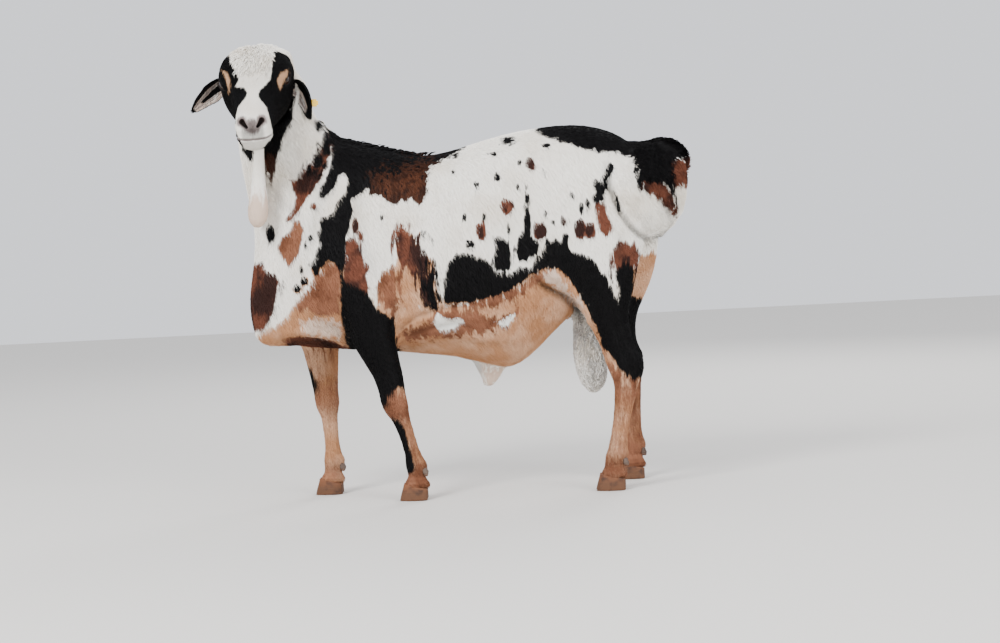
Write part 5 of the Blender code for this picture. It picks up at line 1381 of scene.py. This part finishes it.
def coat_amounts(points, normals, nodes, fields, inner):
    """How thick the tufts stand at each point, for each piece of the coat."""
    x, y, z = points.T
    node = {name: nodes == index for index, name in enumerate(SKIN_NODES)}
    face = to_face(points)
    u, v, w = face.T
    hairy = ramp(nostril_distance(face), 1.2, 2.6) * ramp(np.abs(over_mouth(face)), 0.0015, 0.0040) + (u < 0.2)
    hairy = np.clip(hairy, 0, 1)
    for side in (-1, 1):
        a, b, d = in_eye(face, side)
        hairy = hairy * np.where(d > 0, ramp(lid_gap(a, b), 0.0016, 0.0050), 1.0)
    amounts = {
        "coat_neck": node["neck"] * 1.0,
        "coat_tail": (node["tail"] | node["tail_tip"]) * 1.0,
        "coat_face": node["head"] * (u <= 0.17) * hairy,
        "coat_muzzle": node["head"] * (u > 0.17) * hairy,
        "coat_ears": (node["ear_left"] | node["ear_right"]) * np.where(inner > 0.5, 0.35, 1.0),
        "coat_thin": (node["wattle_left"] | node["wattle_right"] | node["sheath"])
        * np.where(node["sheath"], 0.4, ramp(z, 0.64, 0.72) * 0.9 + 0.1),
        "coat_scrotum": node["scrotum"] * 1.0,
    }
    for side, on_side in (("left", y < MIDDLE_Y), ("right", y >= MIDDLE_Y)):
        for end, at_end in (("front", x < 0.0), ("back", x >= 0.0)):
            amounts[f"coat_torso_{side}_{end}"] = node["torso"] * on_side * at_end * 1.0
    for name in LEGS:
        amounts["coat_" + name] = node[name] * ramp(z, 0.020, 0.028)
    forehead = node["head"] * ramp(u, 0.150, 0.060) * ramp(w, 0.035, 0.060)
    amounts["locks_forehead"] = forehead * ramp(np.abs(v), 0.045, 0.030)
    ridge = ramp(np.abs(y - MIDDLE_Y), 0.020, 0.010) * ramp(normals[:, 2], 0.5, 0.8)
    amounts["locks_withers"] = (node["torso"] | node["neck"]) * ridge * ramp(x, -0.30, -0.25) * ramp(x, -0.02, -0.08)
    amounts["locks_tail"] = node["tail_tip"] * 1.0 + node["tail"] * ramp(fields["chestnut"], -1, 1) * 0.3
    amounts["locks_scrotum"] = node["scrotum"] * ramp(z, 0.40, 0.36)
    return amounts


# Coat

def blade_mesh(bends):
    """One tuft along +X: a thin closed wedge, straight or bent in a few places."""
    if bends == 0:
        points = [(0, -0.5, -0.5), (0, 0.5, -0.5), (0.45, 0, 1.0), (1.0, 0, 0.35)]
        faces = [(0, 2, 1), (0, 1, 3), (0, 3, 2), (1, 2, 3)]
    else:
        points = []
        faces = [(0, 2, 1)]
        corners = [(corner, (corner + 1) % 3) for corner in range(3)]
        for index in range(bends + 1):
            share = index / (bends + 1)
            wide = 0.5 * (1 - share) ** 0.6
            rise = 1.3 * math.sin(share * math.pi * 0.9)
            sway = 0.5 * math.sin(share * math.pi * 1.6)
            points += [(share, sway - wide, rise - 0.5), (share, sway + wide, rise - 0.5), (share, sway, rise + 0.6)]
        for low in range(0, bends * 3, 3):
            high = low + 3
            faces += [(low + corner, low + after, high + after, high + corner) for corner, after in corners]
        last = bends * 3
        faces += [(last + corner, last + after, last + 3) for corner, after in corners]
        points.append((1.0, 0.3, 0.2))
    mesh = bpy.data.meshes.new("blade")
    mesh.from_pydata(points, [], faces)
    face_out(mesh)
    add_field(mesh, "along", [along for along, _, _ in points])
    add_field(mesh, "patch", [(along, 0.5 + 0.5 * across) for along, across, _ in points], "FLOAT2")
    return mesh


def set_inputs(tree, node, values):
    """Links or sets a node's inputs, by name or number; a hex colour is made linear."""
    for key, value in values.items():
        if isinstance(value, bpy.types.NodeSocket):
            tree.links.new(value, node.inputs[key])
        elif isinstance(value, str) and value.startswith("#"):
            node.inputs[key].default_value = linear(value)
        else:
            node.inputs[key].default_value = value


def add_node(tree, kind, inputs=(), output=0, **settings):
    """Adds a node with its settings and inputs and returns one of its outputs."""
    node = tree.nodes.new(kind)
    for key, value in settings.items():
        setattr(node, key, value)
    set_inputs(tree, node, dict(inputs))
    return node.outputs[output]


def coat_tree():
    """Node tree that plants tufts on the skin along the lie of the hair."""
    tree = bpy.data.node_groups.new("coat", "GeometryNodeTree")
    for name, kind in COAT_INPUTS.items():
        tree.interface.new_socket(name, in_out="INPUT", socket_type="NodeSocket" + kind)
    tree.interface.new_socket("Geometry", in_out="OUTPUT", socket_type="NodeSocketGeometry")
    given = add_node(tree, "NodeGroupInput").node.outputs
    amount, lie, root, patch = (
        add_node(tree, "GeometryNodeInputNamedAttribute", {"Name": name}, data_type=kind) for name, kind in (
            (given["Region"], "FLOAT"), ("lie", "FLOAT_VECTOR"), ("root", "FLOAT_VECTOR"), ("patch", "FLOAT_VECTOR"),
        )
    )
    chance = {
        name: add_node(tree, "FunctionNodeRandomValue", {2: low, 3: high, "Seed": seed}, 1, data_type="FLOAT")
        for name, (low, high, seed) in TUFT_CHANCES.items()
    }
    varied = {
        name: add_node(tree, "ShaderNodeMath", {0: given[name], 1: chance[name]}, operation="MULTIPLY")
        for name in ("Lift", "Stray", "Length", "Width")
    }
    density = add_node(tree, "ShaderNodeMath", {0: amount, 1: given["Density"]}, operation="MULTIPLY")
    points = add_node(tree, "GeometryNodeDistributePointsOnFaces", {
        "Mesh": given["Geometry"], "Density": density, "Seed": given["Seed"],
    }, "Points", distribute_method="RANDOM")
    facing = add_node(tree, "FunctionNodeAxesToRotation", {
        "Primary Axis": points.node.outputs["Normal"], "Secondary Axis": lie,
    }, primary_axis="Z", secondary_axis="X")
    turn = add_node(tree, "ShaderNodeCombineXYZ", {0: chance["Roll"], 1: varied["Lift"], 2: varied["Stray"]})
    turned = add_node(tree, "FunctionNodeRotateRotation", {
        "Rotation": facing, "Rotate By": turn,
    }, rotation_space="LOCAL")
    scale = add_node(tree, "ShaderNodeCombineXYZ", {0: varied["Length"], 1: varied["Width"], 2: given["Height"]})
    shaded = add_node(tree, "GeometryNodeStoreNamedAttribute", {
        "Geometry": points, "Name": "shade", "Value": chance["Shade"],
    }, data_type="FLOAT", domain="POINT")
    blade = add_node(tree, "GeometryNodeObjectInfo", {
        "Object": given["Blade"],
    }, "Geometry", transform_space="ORIGINAL")
    planted = add_node(tree, "GeometryNodeInstanceOnPoints", {
        "Points": shaded, "Instance": blade, "Rotation": turned, "Scale": scale,
    })
    tufts = add_node(tree, "GeometryNodeRealizeInstances", {"Geometry": planted})
    small = add_node(tree, "ShaderNodeVectorMath", {0: patch, 1: (PATCH_SIDE,) * 3}, operation="MULTIPLY")
    place = add_node(tree, "ShaderNodeVectorMath", {0: root, 1: small}, operation="ADD")
    stored = add_node(tree, "GeometryNodeStoreNamedAttribute", {
        "Geometry": tufts, "Name": "OFBake", "Value": place,
    }, data_type="FLOAT2", domain="CORNER")
    painted = add_node(tree, "GeometryNodeSetMaterial", {"Geometry": stored, "Material": given["Material"]})
    set_inputs(tree, tree.nodes.new("NodeGroupOutput"), {0: painted})
    return tree


def drop_fields(mesh):
    """Removes the fields that only the planting needs."""
    for name in [field.name for field in mesh.attributes]:
        if name.startswith(("coat_", "locks_")) or name in ("lie", "root", "patch"):
            mesh.attributes.remove(mesh.attributes[name])


def plant(skin, tree, name, seed, blades, material):
    """One piece of coat, grown on the skin and made into a mesh of its own."""
    density, length, width, height, blade, lift, stray, _ = COAT[name]
    piece = new_object(name, skin.data)
    grow = piece.modifiers.new("grow", "NODES")
    grow.node_group = tree
    values = {
        "Region": name, "Blade": blades[blade], "Density": density, "Length": length, "Width": width,
        "Height": height, "Lift": lift, "Stray": stray, "Seed": seed, "Material": material,
    }
    for item in tree.interface.items_tree:
        if item.in_out == "INPUT" and item.name in values:
            grow[item.identifier] = values[item.name]
    apply_modifiers(piece)
    drop_fields(piece.data)
    piece.data.name = name
    return piece


# Finishes

def new_material(name, inputs):
    """A material with some inputs of its shader set, its tree and its shader."""
    material = bpy.data.materials.new(name)
    material.use_nodes = True
    tree = material.node_tree
    shader = tree.nodes["Principled BSDF"]
    set_inputs(tree, shader, inputs)
    return material, tree, shader


def layered(tree, colour, layers):
    """A colour with others laid over it, each by its cover."""
    for cover, over in layers:
        colour = add_node(tree, "ShaderNodeMix", {0: cover, 6: colour, 7: over}, 2, data_type="RGBA")
    return colour


def blotches(tree, place, scale, low, high):
    """Cover of wide soft patches."""
    noise = add_node(tree, "ShaderNodeTexNoise", {"Vector": place, "Scale": scale, "Detail": 3.0})
    return add_node(tree, "ShaderNodeMapRange", {
        "Value": noise, "From Min": low, "From Max": high,
    }, interpolation_type="SMOOTHSTEP")


def cover_of(tree, name, grain):
    """Cover of one colour from its stored distance, with hairs of it crossing the edge."""
    value = add_node(tree, "ShaderNodeAttribute", output="Fac", attribute_name=name)
    ragged = add_node(tree, "ShaderNodeMath", {0: value, 1: grain}, operation="ADD")
    return add_node(tree, "ShaderNodeMapRange", {
        "Value": ragged, "From Min": -0.8, "From Max": 0.8,
    }, interpolation_type="SMOOTHSTEP")


def coat_material(name, rough, hairy):
    """Short sheep's hair: cream, tan and brown dull, black glossier, marked by the stored outlines, with painted
    shade.
    """
    material, tree, shader = new_material(name, {"Specular IOR Level": 0.10})
    place = add_node(tree, "ShaderNodeTexCoord", output="Object")
    noises = []
    grains = []
    for stretch, reach in ((STRANDS, 1.1), (LOCKS, 2.6)):
        drawn = add_node(tree, "ShaderNodeMapping", {"Vector": place, "Rotation": HAIR_SLANT, "Scale": stretch})
        noises.append(add_node(tree, "ShaderNodeTexNoise", {"Vector": drawn, "Scale": 1.0, "Detail": 2.0}))
        grains.append(add_node(tree, "ShaderNodeMapRange", {
            "Value": noises[-1], "From Min": 0.25, "From Max": 0.75, "To Min": -reach, "To Max": reach,
        }))
    fields = ("ragged", "along", "crease") + (("shade",) if hairy else ())
    ragged, along, crease, *shade = (
        add_node(tree, "ShaderNodeAttribute", output="Fac", attribute_name=field) for field in fields
    )
    both = add_node(tree, "ShaderNodeMath", {0: grains[0], 1: grains[1]}, operation="ADD")
    grain = add_node(tree, "ShaderNodeMath", {0: both, 1: ragged}, operation="MULTIPLY")
    # Painted shade: the colour darkens towards the roots of the hair and on the skin under it (along), and in the
    # folds, between the forehead locks and on the lips (crease)
    factors = [(along, 0.86, 1.08), (crease, 1.0, 0.42)]
    if hairy:
        tuft = add_node(tree, "ShaderNodeMath", {0: shade[0], 1: 0.5}, operation="SUBTRACT")
        grain = add_node(tree, "ShaderNodeMath", {0: tuft, 1: 1.3, 2: grain}, operation="MULTIPLY_ADD")
        factors.append((shade[0], 0.90, 1.08))
    small_grain = add_node(tree, "ShaderNodeMath", {0: grains[0], 1: 0.35}, operation="MULTIPLY")
    covers = {
        field: cover_of(tree, field, small_grain if field in ("nose", "hole") else grain) for field in COLOURS
    }
    streaks = add_node(tree, "ShaderNodeMapRange", {
        "Value": noises[1], "From Min": 0.36, "From Max": 0.60, "To Min": 0.95, "To Max": 0.30,
    })
    for factor in (streaks, covers["black"]):
        covers["rust"] = add_node(tree, "ShaderNodeMath", {0: covers["rust"], 1: factor}, operation="MULTIPLY")
    colours = dict(COAT_COLOURS)
    for first, (second, *spread) in MOTTLES.items():
        colours[first] = layered(tree, COAT_COLOURS[first], [(blotches(tree, place, *spread), COAT_COLOURS[second])])
    colour = layered(tree, colours["cream"], [(covers[field], colours[field]) for field in COLOURS])
    for value, low, high in factors:
        factor = add_node(tree, "ShaderNodeMapRange", {"Value": value, "To Min": low, "To Max": high})
        colour = add_node(tree, "ShaderNodeVectorMath", {0: colour, "Scale": factor}, operation="SCALE")
    gloss = add_node(tree, "ShaderNodeMapRange", {"Value": covers["black"], "To Min": rough, "To Max": rough - 0.20})
    set_inputs(tree, shader, {"Base Color": colour, "Roughness": gloss})
    if not hairy:
        fine = add_node(tree, "ShaderNodeTexNoise", {"Vector": place, "Scale": 900.0, "Detail": 2.0})
        normal = add_node(tree, "ShaderNodeBump", {"Height": noises[0], "Strength": 0.35, "Distance": 0.0012})
        normal = add_node(tree, "ShaderNodeBump", {
            "Height": fine, "Strength": 0.25, "Distance": 0.0004, "Normal": normal,
        })
        set_inputs(tree, shader, {"Normal": normal})
    return material


def eye_material():
    """Wet brown eye with a level, slit-like pupil, laid out in the eye's own axes."""
    material, tree, shader = new_material("eye_wet_brown", {
        "Roughness": 0.22, "Specular IOR Level": 0.35, "Coat Weight": 0.35, "Coat Roughness": 0.04,
    })
    gaze = add_node(tree, "ShaderNodeAttribute", output="Vector", attribute_name="gaze")
    colour = EYE_RIM
    for stretch, start, end, over in EYE_RINGS:
        flat = add_node(tree, "ShaderNodeVectorMath", {0: gaze, 1: stretch}, operation="MULTIPLY")
        away = add_node(tree, "ShaderNodeVectorMath", {0: flat}, "Value", operation="LENGTH")
        cover = add_node(tree, "ShaderNodeMapRange", {"Value": away, "From Min": start, "From Max": end})
        colour = layered(tree, colour, [(cover, over)])
    set_inputs(tree, shader, {"Base Color": colour})
    return material


def make_eye(name, side, material):
    """A ball with a raised cornea."""
    middle, *axes = eye_axes(side)
    mesh = bpy.data.meshes.new(name)
    with editing(mesh) as form:
        bmesh.ops.create_uvsphere(form, u_segments=64, v_segments=40, radius=EYE_RADIUS)
    eye = new_object(name, mesh)
    points = points_of(eye)
    points = points * (1.0 + 0.055 * ramp(points[:, 2], 0.0095, 0.0140))[:, None]
    add_field(mesh, "gaze", points, "FLOAT_VECTOR")
    move_points(eye, from_face(middle + points @ np.array(axes)))
    face_out(mesh)
    mesh.shade_smooth()
    mesh.materials.append(material)
    return eye


def horn_material():
    """Hoof horn: dull, pale at the edge and redder at the crown, dewclaws greyer, with growth rings."""
    material, tree, shader = new_material("hoof_horn", {"Roughness": 0.62, "Specular IOR Level": 0.25})
    place = add_node(tree, "ShaderNodeTexCoord", output="Object")
    height = add_node(tree, "ShaderNodeSeparateXYZ", {0: place}, 2)
    colour = HORN_PALE
    for low, high, over in HORN_LEVELS:
        cover = add_node(tree, "ShaderNodeMapRange", {"Value": height, "From Min": low, "From Max": high})
        colour = layered(tree, colour, [(cover, over)])
    colour = layered(tree, colour, [(blotches(tree, place, 60.0, 0.45, 0.8), HORN_DARK)])
    drawn = add_node(tree, "ShaderNodeMapping", {"Vector": place, "Scale": (25.0, 25.0, 420.0)})
    rings = add_node(tree, "ShaderNodeTexNoise", {"Vector": drawn, "Scale": 1.0, "Detail": 2.0})
    normal = add_node(tree, "ShaderNodeBump", {"Height": rings, "Strength": 0.5, "Distance": 0.0010})
    set_inputs(tree, shader, {"Base Color": colour, "Normal": normal})
    return material


def make_horn(kind, nodes, voxel, grow, material):
    """Packed hooves or dewclaws, rounded on a fine grid; dewclaws are drawn out in height."""
    horn = voxel_form(kind + "_horn", nodes, voxel, 0.0)
    points = relax(points_of(horn), edges_of(horn), 5, *SMOOTHING)
    move_points(horn, points)
    rings = HORN_RING * np.sin(points[:, 2] / HORN_RING_SPACING * 2 * math.pi) * ramp(points[:, 2], 0.004, 0.010)
    points = points + normals_of(horn) * (grow + rings)[:, None]
    if kind == "dewclaw":
        for node in nodes:
            middle = np.array(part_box(node)).mean(axis=0)
            chosen = np.linalg.norm(points - middle, axis=1) < DEWCLAW_REACH
            points[chosen, 2] = middle[2] - DEWCLAW_DROP + (points[chosen, 2] - middle[2]) * DEWCLAW_TALL
    points[:, 2] = np.maximum(points[:, 2], 0.0001)
    move_points(horn, points)
    horn.data.materials.clear()
    horn.data.materials.append(material)
    horn.data.shade_smooth()
    return horn


def make_tag():
    """Blank yellow plate with rounded corners and a button."""
    mesh = bpy.data.meshes.new("tag")
    with editing(mesh) as form:
        bmesh.ops.create_cube(form, size=1.0, matrix=Matrix.Diagonal((*TAG_SIZE, 1.0)))
        upright = [edge for edge in form.edges if abs((edge.verts[0].co - edge.verts[1].co).y) > 0.5 * TAG_SIZE[1]]
        bmesh.ops.bevel(form, geom=upright, offset=TAG_CORNER, segments=6, affect="EDGES")
        bmesh.ops.bevel(form, geom=form.edges[:], offset=TAG_EDGE, segments=2, affect="EDGES")
        button = Matrix.Translation((0, -0.0011, 0.004)) @ Matrix.Rotation(math.pi / 2, 4, "X")
        bmesh.ops.create_cone(form, cap_ends=True, segments=32, matrix=button, **TAG_BUTTON)
    middle = np.array(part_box("ear_tag")).mean(axis=0)
    mesh.transform(Matrix.Translation(middle) @ Matrix.Rotation(TAG_TURN, 4, "Z"))
    face_out(mesh)
    mesh.materials.append(new_material("tag_plastic", {"Base Color": TAG_YELLOW, "Roughness": 0.42})[0])
    return new_object("tag", mesh)


def make_stage():
    """Pale studio floor with a soft key light from the upper left, a fill, a rim light and a pale surround."""
    mesh = bpy.data.meshes.new("floor")
    mesh.from_pydata(FLOOR_CORNERS, [], [(0, 1, 2, 3)])
    mesh.materials.append(new_material("floor_pale", {"Base Color": FLOOR_GREY, "Roughness": 0.9})[0])
    floor = new_object("floor", mesh)
    floor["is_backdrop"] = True
    world = bpy.data.worlds.new("studio")
    world.use_nodes = True
    set_inputs(world.node_tree, world.node_tree.nodes["Background"], SURROUND)
    bpy.context.scene.world = world
    for name, (place, width, power) in LIGHTS.items():
        light = bpy.data.lights.new(name, "AREA")
        light.shape = "DISK"
        light.size = width
        light.energy = power
        turn = (LIT_SPOT - Vector(place)).to_track_quat("-Z", "Y").to_matrix().to_4x4()
        new_object(name, light).matrix_world = Matrix.Translation(place) @ turn


def make_camera():
    """The photographer's place, 4.3 m off the left side."""
    lens = bpy.data.cameras.new("camera")
    lens.lens = CAMERA_LENS
    lens.sensor_width = SENSOR_WIDTH
    lens.sensor_fit = "HORIZONTAL"
    ahead = Vector((0.0, math.cos(CAMERA_PITCH), -math.sin(CAMERA_PITCH)))
    level_up = Vector((0.0, math.sin(CAMERA_PITCH), math.cos(CAMERA_PITCH)))
    level_right = Vector((1.0, 0.0, 0.0))
    right = math.cos(CAMERA_ROLL) * level_right - math.sin(CAMERA_ROLL) * level_up
    up = math.cos(CAMERA_ROLL) * level_up + math.sin(CAMERA_ROLL) * level_right
    camera = new_object("camera", lens)
    camera.matrix_world = Matrix.Translation(EYE_POINT) @ Matrix((right, up, -ahead)).transposed().to_4x4()
    bpy.context.scene.camera = camera


make_stage()
make_camera()

skin = make_skin()
skin.data.materials.append(coat_material("hair_skin", 0.80, False))
hair = coat_material("hair_tufts", 0.78, True)
tree = coat_tree()
blades = {name: new_object("blade_" + name, blade_mesh(bends)) for name, bends in BLADE_BENDS.items()}
coat = [plant(skin, tree, name, seed, blades, hair) for seed, name in enumerate(COAT, FIRST_SEED)]
for blade in blades.values():
    bpy.data.objects.remove(blade)
bpy.data.node_groups.remove(tree)
drop_fields(skin.data)

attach(skin, "root")
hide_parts(*SKIN_NODES)
for piece, (*_, slot) in zip(coat, COAT.values()):
    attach(piece, "root")

eye_finish = eye_material()
for node, side in (("eye_right", -1), ("eye_left", 1)):
    eye = make_eye(node + "_ball", side, eye_finish)
    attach(eye, "root")
    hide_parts(node)

horn_finish = horn_material()
FEET = [f"{end}_{side}" for end in ("fore", "hind") for side in ("left", "right")]
for kind, (voxel, grow) in HORNS.items():
    nodes = [f"{kind}_{foot}_{place}" for foot in FEET for place in ("inner", "outer")]
    horn = make_horn(kind, nodes, voxel, grow, horn_finish)
    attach(horn, "root")
    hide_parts(*nodes)

tag = make_tag()
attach(tag, "root")
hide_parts("ear_tag")

low = [1e9] * 3
high = [-1e9] * 3
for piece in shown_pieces():
    if piece.type == "MESH":
        points = points_of(piece)
        low = [min(a, float(b)) for a, b in zip(low, points.min(axis=0))]
        high = [max(a, float(b)) for a, b in zip(high, points.max(axis=0))]
